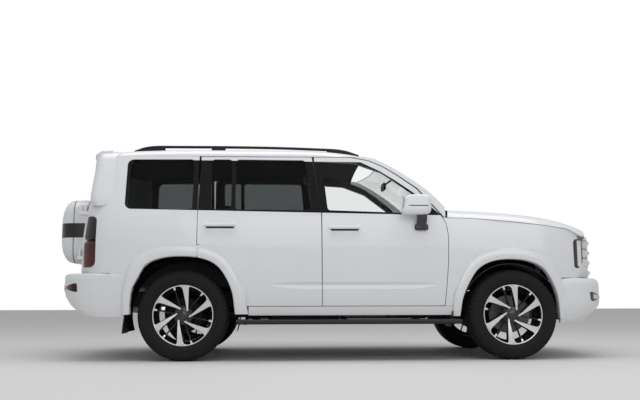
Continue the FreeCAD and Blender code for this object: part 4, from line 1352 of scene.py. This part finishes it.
    def flare(self, name: str, body: str, side: Side, edges: tuple[Points, Points],
              keep: tuple[float, float]) -> None:
        """One flare over a wheel arch, or the part of it between two stations.

        Args:
            name: The piece's name.
            body: The body that carries it.
            side: Its side.
            edges: The arch's edge and the flare's outer edge, as stations and heights.
            keep: The stations between which it is kept.
        """
        share = np.array([0.0, 0.0, 0.0, 0.05, 0.12, 0.5, 0.85, 0.94, 0.985, 1.0, 1.0, 0.5])
        out = np.array([-0.055, -0.02, 0.014, 0.024, 0.027, 0.0265, 0.024, 0.019, 0.009, 0.0012,
                        -0.004, -0.004])
        flat = between(*edges, share)
        flat[..., 0] = np.clip(flat[..., 0], *keep)
        flat = flat[np.ptp(flat[..., 0], axis=1) > 1e-4]
        form = Form()
        form.solid(side.put(side_skin(flat[..., 0], flat[..., 1], out)))
        self.add(form, name, body, "body_paint")

    def flares(self) -> None:
        """All arch flares, smooth rounded bands a little proud of the skin."""
        rear = (rounded_line([(-1.735, 0.395, 0), (-1.716, 0.640, 0.17), (-1.560, 0.887, 0.25),
                              (-1.040, 0.887, 0.25), (-0.866, 0.640, 0.17), (-0.838, 0.395, 0)], 80),
                rounded_line([(-1.800, 0.395, 0), (-1.785, 0.690, 0.20), (-1.640, 0.985, 0.27),
                              (-0.985, 0.985, 0.27), (-0.766, 0.640, 0.20), (-0.723, 0.395, 0)], 80))
        front = (rounded_line([(1.107, 0.375, 0), (1.130, 0.570, 0.15), (1.305, 0.866, 0.25),
                               (1.802, 0.862, 0.25), (1.965, 0.600, 0.17), (1.992, 0.352, 0)], 80),
                 rounded_line([(1.040, 0.375, 0), (1.052, 0.600, 0.17), (1.262, 0.960, 0.26),
                               (1.868, 0.958, 0.26), (2.062, 0.580, 0.19), (2.078, 0.352, 0)], 80))
        gap = self.seam_gap
        for side in Side:
            word = side.word
            self.flare(f"flare_front_{word}", "body", side, front, (1.0, 2.1))
            self.flare(f"flare_rear_{word}", "body", side, rear, (-1.9, self.door_seam - gap))
            self.flare(f"flare_rear_door_{word}", f"rear_door_{word}", side, rear,
                       (self.door_seam + gap, -0.7))
            self.heel(side, rear[1])
            self.liner(side)

    def heel(self, side: Side, edge: Points) -> None:
        """The lower rear of a rear door: skin between the flare's outer edge and the door.

        Args:
            side: The side.
            edge: The flare's outer edge.
        """
        edge = edge[(edge[:, 0] > -1.155) & (edge[:, 1] > 0.47)]
        ahead = np.stack([np.maximum(-0.728, edge[:, 0] + 0.004), edge[:, 1]], -1)
        high = edge[:, 1] > 0.955
        ahead[high, 0], ahead[high, 1] = edge[high, 0], 0.997
        x, z = np.moveaxis(between(edge - [0.008, 0.0], ahead, np.linspace(0, 1, 8)), -1, 0)
        rings = np.concatenate([side_skin(x, z, 0.0008), side_skin(x, z, -0.012)[:, ::-1]], 1)
        form = Form()
        form.solid(side.put(rings))
        self.add(form, f"door_heel_{side.word}", f"rear_door_{side.word}", "body_paint")

    def liner(self, side: Side) -> None:
        """The dark lining of a rear wheel arch: an arched sheet from the wheel box to the flare.

        Args:
            side: The side.
        """
        turn = np.linspace(math.radians(-18), math.radians(198), 44)[:, None]
        across, radius = np.array([(0.62, 0.470), (0.900, 0.478), (0.900, 0.484), (0.62, 0.476)]).T
        form = Form()
        form.solid(spots(REAR_AXLE + radius * 1.01 * np.cos(turn), side.value * across,
                         AXLE_Z + 0.010 + radius * 0.985 * np.sin(turn)))
        self.add(form, f"arch_lining_{side.word}", "body", "black_trim", "liner_felt")

    def build(self) -> None:
        """Build every piece of the shell."""
        self.roof()
        self.lip()
        for side in Side:
            self.corner(side)
            self.post_seal(side)
        self.hood()
        self.flares()


@dataclass
class Bumper(Assembly):
    """A bumper: a shell across one end of the car between two heights."""

    node: str
    skin: EndSkin
    rise: float = 0.0
    thick: float = 0.05

    def build(self) -> None:
        """The shell, closed behind, its lower edge rising towards the middle by a share."""
        skin = self.skin
        angle = np.linspace(0, np.pi, 81)
        rows = np.asarray(skin.rows)
        z = np.interp(np.linspace(0, len(rows) - 1, 30), np.arange(len(rows)), rows[:, 0])
        length, half = (part[:, None] for part in skin.shape(z))
        across, along = powered(np.cos(angle), skin.power), np.sin(angle) ** skin.power
        top = rows[-1, 0]
        z = top - (top - z[:, None]) * (1 - self.rise * np.sin(angle) ** 2)
        outer = spots(skin.start + skin.sign * length * along, half * across, z)
        inner = spots(skin.start + skin.sign * np.maximum(length - self.thick, 0.01) * along,
                      (half - 0.03) * across, z)
        form = Form()
        form.grid(np.concatenate([outer, inner[::-1]]), wrap=False, tube=True)
        form.seams(*((outer[:, end], inner[:, end]) for end in (0, -1)))
        self.add(form, f"{self.node}_shell", "body", "body_paint", stands_for=[self.node])


# Pads on the end skins, in places across and up. One that is laid on both sides is given for the
# left side, and each has its finish's number in its piece.
LAMP_PATCHES = (
    Patch(((0.600, 0.700), (0.868, 0.700), (0.872, 1.080), (0.600, 1.080)), 0.02, 0.0, 0.030,
          0.004),
    Patch(((0.628, 0.793), (0.853, 0.790), (0.856, 1.048), (0.628, 1.050)),
          (0.02, 0.02, 0.03, 0.03), 0.003, 0.006, 0.002, 1),
    *(Patch(box(0.650, low, 0.790, high), 0.012, 0.0075, 0.0, 0.003, 2)
      for low, high in ((0.806, 0.878), (0.886, 0.958), (0.966, 1.036))),
    Patch(((0.806, 0.806), (0.834, 0.806), (0.836, 1.036), (0.806, 1.036)), 0.006, 0.0065, 0.0,
          0.002, 3))
FOG_PATCHES = (
    Patch(((0.430, 0.488), (0.838, 0.500), (0.848, 0.583), (0.430, 0.583)), 0.02, 0.002, 0.006,
          0.002),
    Patch(((0.470, 0.512), (0.810, 0.520), (0.810, 0.560), (0.470, 0.560)), 0.008, 0.006, 0.0,
          0.003, 2))
FRONT_PATCHES = (
    Patch(box(-0.40, 0.430, 0.40, 0.560), 0.03, 0.002, 0.006, 0.002, 1),
    Patch(((-0.34, 0.335), (0.34, 0.335), (0.42, 0.415), (-0.42, 0.415)), 0.02, 0.003, 0.006,
          0.002, 3),
    Patch(box(-0.22, 0.590, 0.22, 0.690), 0.008, 0.004, 0.0, 0.001, 4))
REFLECTOR_PATCHES = (
    Patch(((0.640, 0.592), (0.905, 0.588), (0.908, 0.662), (0.640, 0.660)), 0.01, 0.002, 0.006,
          0.001),
    Patch(box(0.655, 0.606, 0.870, 0.646), 0.006, 0.005, 0.0, 0.002, 1))
REAR_PATCHES = (
    Patch(box(-0.55, 0.690, 0.55, 0.733), 0.01, 0.003, 0.006, 0.001),
    Patch(box(-0.23, 0.560, 0.23, 0.675), 0.01, 0.004, 0.004, 0.001, 2))
GATE_PATCHES = (
    Patch(box(-0.22, 1.722, 0.22, 1.742), 0.006, 0.008, 0.004, 0.002, 1),
    Patch(box(0.46, 1.10, 0.62, 1.14), 0.015, 0.016, 0.004, 0.006))


@dataclass
class Nose(Assembly):
    """The front face: lamps in their surrounds, grille bars over dark mesh, and what the bumper
    holds."""

    bars: tuple[float, ...] = (0.755, 0.846, 0.937, 1.028)
    bar_half: float = 0.033
    half: float = 0.615

    def grille(self) -> None:
        """Thick horizontal bars, rounded in section, before a mesh backing."""
        form = Form()
        y = np.linspace(-self.half, self.half, 61)[:, None]
        turn = np.linspace(0, 2 * np.pi, 20, endpoint=False)
        out = 0.030 * powered(np.cos(turn), 0.7) - 0.006
        up = self.bar_half * powered(np.sin(turn), 0.7) * (1 - 0.55 * (np.abs(y) / self.half) ** 6)
        for height in self.bars:
            form.solid(NOSE(y, height + up, out))
        height, out = np.array([(0.705, -0.028), (0.9, -0.028), (1.085, -0.028), (1.085, -0.045),
                                (0.9, -0.045), (0.705, -0.045)]).T
        form.solid(NOSE(y, height, out), 1)
        self.add(form, "grille_bars", "body", "body_paint", "white_enamel dark_mesh",
                 stands_for=["grille"])

    def build(self) -> None:
        """The grille, both headlamps, and the bumper's fog lamps, intake, skid and blank plate."""
        self.grille()
        lamps, low = Form(), Form()
        for side in Side:
            for patch in LAMP_PATCHES:
                patch.lay(lamps, NOSE, side.value)
            for patch in FOG_PATCHES:
                patch.lay(low, FRONT_BUMPER, side.value)
        for patch in FRONT_PATCHES:
            patch.lay(low, FRONT_BUMPER)
        self.add(lamps, "headlamp_covers", "body", "lamp_lens",
                 "white_enamel gloss_black clear_lens light_strip", stands_for=["headlights"])
        self.add(low, "front_low_parts", "body", "black_trim",
                 "gloss_black dark_mesh clear_lens brushed_skid plate_white")


@dataclass
class Tail(Assembly):
    """The rear: lamps round the corners, the spare wheel's case, bumper inserts and gate
    fittings."""

    lamp_ahead: float = -2.036
    lamp_low: float = 0.802
    lamp_high: float = 1.238
    lamp_middle: float = 1.02
    lamp_radius: float = 0.045
    lamp_end: float = 0.80
    waist: float = 1.03
    case_z: float = 1.155

    def corner(self, turn: Points, z: Points, out: Points, side: Side) -> Points:
        """Points of the rear corner by a turn from the side, 0, to the middle of the tail."""
        x = TAIL_START - (TAIL_START - tail_x(z) + out) * np.sin(turn) ** TAIL_POWER
        return spots(x, side.value * (half_width(z) + out) * np.cos(turn) ** TAIL_POWER, z)

    def lamps(self) -> None:
        """Both tail lamps, pinched at a waist, with a painted filler ahead of each."""
        z = np.linspace(self.lamp_low, self.lamp_high, 49)[:, None]
        beyond = np.clip(np.abs(z - self.lamp_middle) - 0.173, 0, self.lamp_radius)
        inward = self.lamp_radius * (1 - np.sqrt(1 - (beyond / self.lamp_radius) ** 2))
        length = TAIL_START - tail_x(z)
        first = np.arcsin(((TAIL_START - self.lamp_ahead + inward) / length) ** (1 / TAIL_POWER))
        last = np.arccos((self.lamp_end / half_width(z)) ** (1 / TAIL_POWER))
        ahead = np.arcsin((0.486 / length) ** (1 / TAIL_POWER))
        pinch = 0.020 * np.exp(-((z - self.waist) / 0.014) ** 2)
        share = np.concatenate([[0.0, 0.0, 0.01], np.linspace(0.05, 0.95, 22), [0.99, 1.0, 1.0]])
        lip = np.array([-0.03, 0.001, 0.005] + [0.006] * 22 + [0.005, 0.001, -0.03])
        fill = np.array([0.0, 0.0, 0.5, 1.0, 1.0])
        form = Form()
        for side in Side:
            form.solid(self.corner(first + (last - first) * share, z, lip - pinch, side))
            form.solid(self.corner(ahead + (first - 0.006 - ahead) * fill,
                                   z + (z - self.lamp_middle) * 0.006,
                                   np.array([-0.02, 0.0005, 0.0005, 0.0005, -0.02]), side), 1)
        self.add(form, "tail_lamp_covers", "body", "lamp_lens", "tail_lens white_enamel",
                 stands_for=["taillights"])

    def case(self) -> None:
        """The spare wheel's case: rounded squares along the car, domed at the back, and its
        boss."""
        rows = [(-2.236, 0.335, 0.287, 0.13), (-2.240, 0.343, 0.295, 0.14),
                (-2.250, 0.346, 0.298, 0.14), (-2.360, 0.346, 0.298, 0.15),
                (-2.3635, 0.342, 0.294, 0.15), (-2.3715, 0.342, 0.294, 0.15),
                (-2.375, 0.345, 0.297, 0.15), (-2.400, 0.342, 0.294, 0.15),
                (-2.425, 0.334, 0.286, 0.15), (-2.447, 0.320, 0.272, 0.145),
                (-2.467, 0.298, 0.250, 0.14), (-2.486, 0.268, 0.220, 0.13),
                (-2.503, 0.228, 0.182, 0.115), (-2.516, 0.178, 0.138, 0.09),
                (-2.527, 0.110, 0.082, 0.055), (-2.5345, 0.030, 0.020, 0.012)]
        form = Form()
        form.solid(np.stack([spots(x, *(rounded_rectangle(*size, 10) + [0, self.case_z]).T)
                             for x, *size in rows]))
        form.solid(np.stack([spots(x, *(circle(radius, 36) + [0, 1.13]).T) for x, radius in
                             ((-2.245, 0.13), (-2.215, 0.13), (-2.190, 0.16), (-2.175, 0.17))]), 1)
        self.add(form, "spare_case_shell", "tailgate", "body_paint", "case_enamel black_trim", 30,
                 ["spare_case"])

    def fittings(self) -> None:
        """Bumper reflectors, the blank plate panel, the gate's handle, wiper and high stop
        lamp."""
        form, gate = Form(), Form()
        for side in Side:
            for patch in REFLECTOR_PATCHES:
                patch.lay(form, REAR_BUMPER, side.value)
        for patch in REAR_PATCHES:
            patch.lay(form, REAR_BUMPER)
        self.add(form, "rear_bumper_parts", "body", "black_trim",
                 "black_trim reflector_red plate_white")
        for patch in GATE_PATCHES:
            patch.lay(gate, TAIL_GATE)
        arm = smooth_path([(0.02, 1.285), (0.20, 1.330), (0.46, 1.360)], 20)
        gate.bar(TAIL_GATE(*arm.T, 0.016), rounded_rectangle(0.007, 0.004, 0.002), (-1, 0, 0))
        self.add(gate, "gate_fittings", "tailgate", "black_trim", "black_trim reflector_red")

    def build(self) -> None:
        """Build the tail."""
        self.lamps()
        self.case()
        self.fittings()


@dataclass
class SideFittings(Assembly):
    """Mirror, painted shadows under the door handles, roof bar and mud flaps of one side."""

    side: Side

    def mirror(self) -> None:
        """The door mirror: a soft painted shell with a slit lamp, its glass, and a dark arm and
        foot."""
        form = Form()
        shell = pillow((0.7215, -1.030, 1.330), (0.1235, 0.0545, 0.088), 0.42, (30, 44))
        lean = 1 - 0.10 * (shell[..., 2] - 1.33) / 0.088
        shell[..., 0] = 0.86 + (shell[..., 0] - 0.86) * lean
        form.grid(self.side.put(shell))
        for mark, *soft in ((1, (0.725, -1.072, 1.318), (0.098, 0.0135, 0.0062), 0.5, (10, 36)),
                            (2, (0.603, -1.030, 1.330), (0.006, 0.046, 0.072), 0.4, (16, 30)),
                            (1, (0.772, -0.955, 1.142), (0.060, 0.028, 0.030), 0.45, (16, 30))):
            form.grid(self.side.put(pillow(*soft)), mark)
        arm = smooth_path([(0.765, -1.020, 1.262), (0.770, -1.005, 1.215), (0.768, -0.975, 1.165),
                           (0.765, -0.945, 1.140)], 18)
        rings = carried(arm, rounded_rectangle(0.045, 0.022, 0.018), (0.0, -1.0, 0.2))
        form.solid(self.side.put(rings), 1)
        self.add(form, f"mirror_housing_{self.side.word}", f"front_door_{self.side.word}",
                 "body_paint", "white_enamel gloss_black mirror_glass", 40,
                 [f"mirror_{self.side.word}"])

    def handles(self) -> None:
        """Painted shadow under each door handle's bar: a thin dark pad on the skin."""
        for word, back, low in (("front", -0.027, 1.123), ("rear", -1.102, 1.143)):
            form = Form()
            # The thin dark pad below the bar is painted shadow, standing in for the shade that the
            # handle casts.
            slot = Patch(box(back + 0.012, low - 0.013, back + 0.250, low + 0.004),
                         (0.010, 0.010, 0.006, 0.006), 0.0015, 0.003, 0.001)
            slot.lay(form, lambda *place: self.side.put(side_skin(*place)))
            self.add(form, f"handle_slot_{word}_{self.side.word}",
                     f"{word}_door_{self.side.word}", "black_trim", "black_trim")

    def rack(self) -> None:
        """The roof bar: a slim bar on three feet, the end ones long and tapered."""
        form = Form()
        x, z = rounded_line([(-1.775, 1.850, 0), (-1.650, 1.898, 0.12), (-0.600, 1.9, 0.5),
                             (0.110, 1.876, 0.12), (0.262, 1.822, 0)], 70).T
        form.solid(self.side.put(carried(spots(x, RACK_Y, z),
                                         rounded_rectangle(0.017, 0.011, 0.008), (0, 0, 1))))
        for start, end in ((-1.760, -1.500), (-1.080, -0.955), (-0.030, 0.235)):
            along = np.linspace(start, end, 24)
            top = np.interp(along, x, z) - 0.004
            low = np.minimum(roof_crown(along) - ROOF_EDGE_DROP * 0.27 - 0.012, top - 0.004)
            rings = [spots(along, RACK_Y + across, height) for across, height in
                     ((-0.014, low), (-0.014, top), (0.014, top), (0.014, low))]
            form.solid(self.side.put(np.stack(rings, 1)))
        self.add(form, f"roof_bar_{self.side.word}", "body", "black_trim", "satin_black",
                 stands_for=["roof_rails"] if self.side is Side.RIGHT else [])

    def flaps(self) -> None:
        """Mud flaps behind both wheels: thin leaves that curl a little at the foot."""
        form = Form()
        for x, top, foot in ((-1.772, 0.44, 0.235), (1.035, 0.42, 0.285)):
            z = np.linspace(top, foot, 14)[:, None]
            x = x - 0.018 * smooth_step((top - z) / (top - foot))
            thick, y = np.array([(0.0, -0.925), (0.008, -0.925), (0.008, -0.690), (0.0, -0.690)]).T
            form.solid(self.side.put(spots(x + thick, y, z)))
        self.add(form, f"mud_flaps_{self.side.word}", "body", "black_trim", "black_trim")

    def build(self) -> None:
        """Build this side's fittings."""
        self.mirror()
        self.handles()
        self.rack()
        self.flaps()


# Cabin and underbody


@dataclass
class Cabin(Assembly):
    """What is seen through the glass: seats, screen, inner mirror, cowl and wipers."""

    sew_depth: float = 0.010
    glass_half: float = 0.83

    def cushion(self, name: str, centre: Triple, half: Triple, lean: float, channels: int) -> None:
        """One padded seat cushion or back, its sides pulled in and its face sewn in channels.

        Args:
            name: The piece's name.
            centre: Its middle.
            half: Half its size, the second being across the car.
            lean: How far it leans back for each unit of height.
            channels: Sewn channels across its face.
        """
        points = pillow(centre, half, 0.5, (34, 44))
        away = (points - np.asarray(centre)) / np.asarray(half)
        long, face = (2, 0) if half[2] > half[0] else (0, 2)
        sewn = np.abs(np.sin(away[..., long] * channels * np.pi / 2)) ** 0.35 - 1
        waist = 1 - 0.05 * (1 - np.abs(away[..., 1]) ** 2)
        points[..., 0] -= lean * (points[..., 2] - centre[2])
        points[..., face] += self.sew_depth * sewn * np.clip(away[..., face], 0, 1)
        points[..., 2] = centre[2] + (points[..., 2] - centre[2]) * waist
        form = Form()
        form.grid(points)
        piece = self.add(form, name, "body", "seat_trim", "seat_cloth", 60)

    def seats(self) -> None:
        """Three rows of seats on their frames."""
        rows = (("front", 0.0, (-0.39, 0.39), 0.235, 1.39),
                ("middle", -0.78, (-0.40, 0.0, 0.40), 0.195, 1.37),
                ("back", -1.56, (-0.28, 0.28), 0.255, 1.33))
        corners = np.array(box(-1, -1, 1, 1))
        frames = Form()
        for word, hip, places, half, high in rows:
            for number, y in enumerate(places, 1):
                tag = f"{word}_{number}"
                self.cushion(f"seat_cushion_{tag}", (hip + 0.225, y, 0.850),
                             (0.255, half, 0.075), 0.0, 5)
                self.cushion(f"seat_back_{tag}", (hip - 0.045, y, 1.060),
                             (0.062, half - 0.01, 0.235), 0.28, 5)
                self.cushion(f"head_rest_{tag}", (hip - 0.140, y, high - 0.065),
                             (0.045, 0.125, 0.078), 0.28, 1)
                base = [spots(*(corners * [0.22, half - 0.05] * share + [hip + 0.22, y]).T, z)
                        for z, share in ((0.657, 0.9), (0.665, 0.92), (0.750, 1.0), (0.790, 1.0))]
                frames.solid(np.stack(base))
                for across in (y - 0.05, y + 0.05):
                    frames.bar(np.array([(hip - 0.115, across, 1.24), (hip - 0.125, across, 1.28),
                                         (hip - 0.135, across, high - 0.10)]),
                               circle(0.006, 10), (0, 1, 0))
        self.add(frames, "seat_frames", "body", "seat_trim", "black_trim", stands_for=["seats"])

    def across_screen(self, y: Points, back: float, reach: float, top: float,
                      fall: float) -> Points:
        """A line across the foot of the windscreen, bowed ahead by reach and down by fall."""
        bow = 1 - (y / self.glass_half) ** 2
        return spots(back + reach * bow, y, top - fall * bow)

    def front(self) -> None:
        """Inner mirror, instrument hood, centre screen, cowl strip and wipers."""
        form = Form()
        form.grid(pillow((0.565, 0.0, 1.622), (0.016, 0.120, 0.034), 0.4, (14, 30)))
        form.bar(np.array([(0.575, 0.0, 1.640), (0.61, 0.0, 1.668), (0.645, 0.0, 1.690)]),
                 circle(0.009, 12), (0, 1, 0))
        form.grid(pillow((0.715, 0.38, 1.185), (0.070, 0.19, 0.040), 0.45, (16, 34)))
        form.grid(pillow((0.718, 0.0, 1.195), (0.012, 0.17, 0.075), 0.25, (16, 34)), 1)
        self.add(form, "dash_fittings", "body", "black_trim", "black_trim gloss_black")
        cowl = Form()
        strip = self.across_screen(np.linspace(-0.80, 0.80, 41), 1.018, 0.100, 1.300, 0.030)
        cowl.bar(strip, rounded_rectangle(0.030, 0.005, 0.004), (0.35, 0, 1))
        for ends in ((0.10, 0.66), (-0.58, -0.04)):
            blade = self.across_screen(np.linspace(*ends, 12), 1.008, 0.094, 1.335, 0.022)
            cowl.bar(blade, rounded_rectangle(0.006, 0.009, 0.003), (0.35, 0, 1))
        cowl.grid(pillow((1.045, -0.630, 1.318), (0.014, 0.009, 0.007), 0.5, (10, 16)))
        self.add(cowl, "cowl_and_wipers", "body", "black_trim", "black_trim")

    def build(self) -> None:
        """Build the cabin's pieces."""
        self.seats()
        self.front()


@dataclass
class Underside(Assembly):
    """Pipes and shafts under the floor."""

    pipe_radius: float = 0.028
    tip_radius: float = 0.036

    def build(self) -> None:
        """The exhaust pipe with its tip, and the two propeller shafts with their joints."""
        form, shaft = Form(), Form()
        path = smooth_path([(1.10, 0.22, 0.42), (0.60, 0.24, 0.36), (0.0, 0.24, 0.36),
                            (-0.60, 0.235, 0.36), (-0.95, 0.22, 0.42), (-1.28, 0.30, 0.60),
                            (-1.62, 0.46, 0.52), (-1.95, 0.56, 0.45), (-2.12, 0.60, 0.43)], 90)
        form.bar(path, circle(self.pipe_radius, 20), (0, 0.1, 1))
        tip = np.array([(-2.10, 0.597, 0.432), (-2.16, 0.604, 0.428), (-2.24, 0.612, 0.424)])
        form.bar(tip, circle(self.tip_radius, 24), (0, 0.1, 1), 1)
        self.add(form, "exhaust_pipe", "body", "chassis_black", "weathered_steel bright_alloy")
        share = np.array([0.0, 0.02, 0.03, 0.05, 0.06, 0.94, 0.95, 0.97, 0.98, 1.0])[:, None]
        radius = np.array([0.05, 0.05, 0.032, 0.032, 0.038, 0.038, 0.032, 0.032, 0.05, 0.05])
        for start, end in (((0.62, 0.02, 0.40), (-1.02, 0.0, 0.385)),
                           ((0.70, 0.10, 0.38), (1.42, 0.12, 0.36))):
            line = np.asarray(start) * (1 - share) + np.asarray(end) * share
            shaft.bar(line, circle(1.0, 20)[None] * radius[:, None, None], (0, 1, 0))
        self.add(shaft, "drive_shafts", "body", "chassis_black", "chassis_coating")


# Stage


@dataclass
class Studio:
    """The floor, the lights and the camera."""

    camera_place: Triple = (-0.437, -7.934, 0.535)
    yaw_deg: float = 2.67
    pitch_deg: float = 6.87
    roll_deg: float = 0.12
    lens_mm: float = 45.6
    floor_half: float = 30.0
    sky_on_car: float = 0.55

    def hang(self, name: str, data: bpy.types.ID, place: Triple,
             turn: Triple) -> bpy.types.Object:
        """Put a camera, lamp or mesh into the scene at a place, turned by X, Y and Z.

        Args:
            name: The object's name.
            data: What it shows.
            place: Where it stands.
            turn: Its turn in radians.

        Returns:
            The object.
        """
        thing = bpy.data.objects.new(name, data)
        thing.location = place
        thing.rotation_mode = "XYZ"
        thing.rotation_euler = turn
        bpy.context.scene.collection.objects.link(thing)
        return thing

    def camera(self) -> None:
        """Place the camera where the photograph was taken."""
        data = bpy.data.cameras.new("view")
        data.lens = self.lens_mm
        data.sensor_width = 36
        turn = (math.radians(90 + self.pitch_deg), math.radians(self.roll_deg),
                -math.radians(self.yaw_deg))
        bpy.context.scene.camera = self.hang("view", data, self.camera_place, turn)

    def lamp(self, name: str, place: Triple, size: tuple[float, float], power: float,
             aim: Triple) -> None:
        """Add a soft area lamp.

        Args:
            name: The lamp's name.
            place: Where it hangs, in metres.
            size: Its two sides.
            power: Its power in watts.
            aim: The point that it faces.
        """
        data = bpy.data.lights.new(name, "AREA")
        data.shape = "RECTANGLE"
        data.size, data.size_y = size
        data.energy = power
        x, y, z = np.subtract(aim, place)
        self.hang(name, data, place, (math.atan2(math.hypot(x, y), -z), 0,
                                      math.atan2(y, x) - math.pi / 2))

    def floor(self) -> None:
        """Lay the pale floor: a square grid of four corners."""
        half = self.floor_half
        mesh = bpy.data.meshes.new("floor")
        mesh.from_pydata([(*corner, 0) for corner in box(-half, -half, half, half)], [],
                         [(0, 1, 2, 3)])
        ground = self.hang("floor", mesh, (0, 0, 0), (0, 0, 0))
        shade = Shader("pale_floor")
        mesh.materials.append(shade.finish(Base_Color=(0.62, 0.62, 0.62), Roughness=0.75))

    def sky(self) -> None:
        """White backdrop to the camera and through glass, softer light on the car."""
        world = bpy.data.worlds.new("sky")
        world.use_nodes = True
        bpy.context.scene.world = world
        nodes, links = world.node_tree.nodes, world.node_tree.links
        back = nodes["Background"]
        back.inputs["Color"].default_value = (1, 1, 1, 1)
        path, seen, strength = (nodes.new(f"ShaderNode{kind}")
                                for kind in ("LightPath", "Math", "MapRange"))
        seen.operation = "MAXIMUM"
        strength.inputs["To Min"].default_value = self.sky_on_car
        strength.inputs["To Max"].default_value = 1.0
        for output, socket in ((path.outputs["Is Camera Ray"], seen.inputs[0]),
                               (path.outputs["Is Transmission Ray"], seen.inputs[1]),
                               (seen.outputs[0], strength.inputs["Value"]),
                               (strength.outputs[0], back.inputs["Strength"])):
            links.new(output, socket)

    def build(self) -> None:
        """Set up the whole stage."""
        bpy.context.scene.view_settings.view_transform = "Standard"
        self.camera()
        self.floor()
        self.sky()
        self.lamp("over", (0, -1.5, 6.5), (9, 5), 285, (0, 0, 0.8))
        self.lamp("front_fill", (1.5, -9, 3.5), (8, 4), 140, (0, 0, 0.9))


# Finishes of the CAD nodes, by the starts of their names
PLAIN = {
    "white_enamel": ("hood", "wings", "roof", "sills", "tailgate", "mirror_", "front_bumper",
                     "rear_bumper"),
    "side_enamel": ("door_", "quarter_panels"),
    "pillar_enamel": ("pillars",),
    "case_enamel": ("spare_case",),
    "black_trim": ("side_steps", "roof_rails", "steering_wheel", "dashboard", "wheel_liners"),
    "tyre_rubber": ("tyre_",),
    "dark_alloy": ("rim_", "grille"),
    "brake_iron": ("knuckle_",),
    "chassis_coating": ("chassis_frame", "floor_pan", "bulkhead", "engine", "front_suspension",
                        "rear_axle", "underbody_tanks"),
    "seat_cloth": ("seats",),
    "tail_lens": ("taillights",),
    "clear_lens": ("headlights",),
    "privacy_glass": ("glass_rear", "tailgate_glass"),
    "clear_glass": ("glass_front", "fixed_glass"),
}


def main(frame: dict[str, object]) -> None:
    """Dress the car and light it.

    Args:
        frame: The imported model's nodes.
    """
    finishes = Finishes()
    finishes.build()
    for name, starts in PLAIN.items():
        for node_name, node in frame["nodes"].items():
            if node_name.startswith(starts):
                finishes.dress(name, node)
    parts = [Shell(finishes), Nose(finishes), Tail(finishes), Cabin(finishes),
             Underside(finishes), Bumper(finishes, "front_bumper", FRONT_BUMPER),
             Bumper(finishes, "rear_bumper", REAR_BUMPER, 0.28)]
    for side in Side:
        parts += [SideFittings(finishes, side), Wheel(finishes, side, False),
                  Wheel(finishes, side, True)]
    for part in parts:
        part.build()
    Studio().build()


if __name__ == "__main__":
    logging.basicConfig(level=logging.INFO)
    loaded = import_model()
    main(loaded)
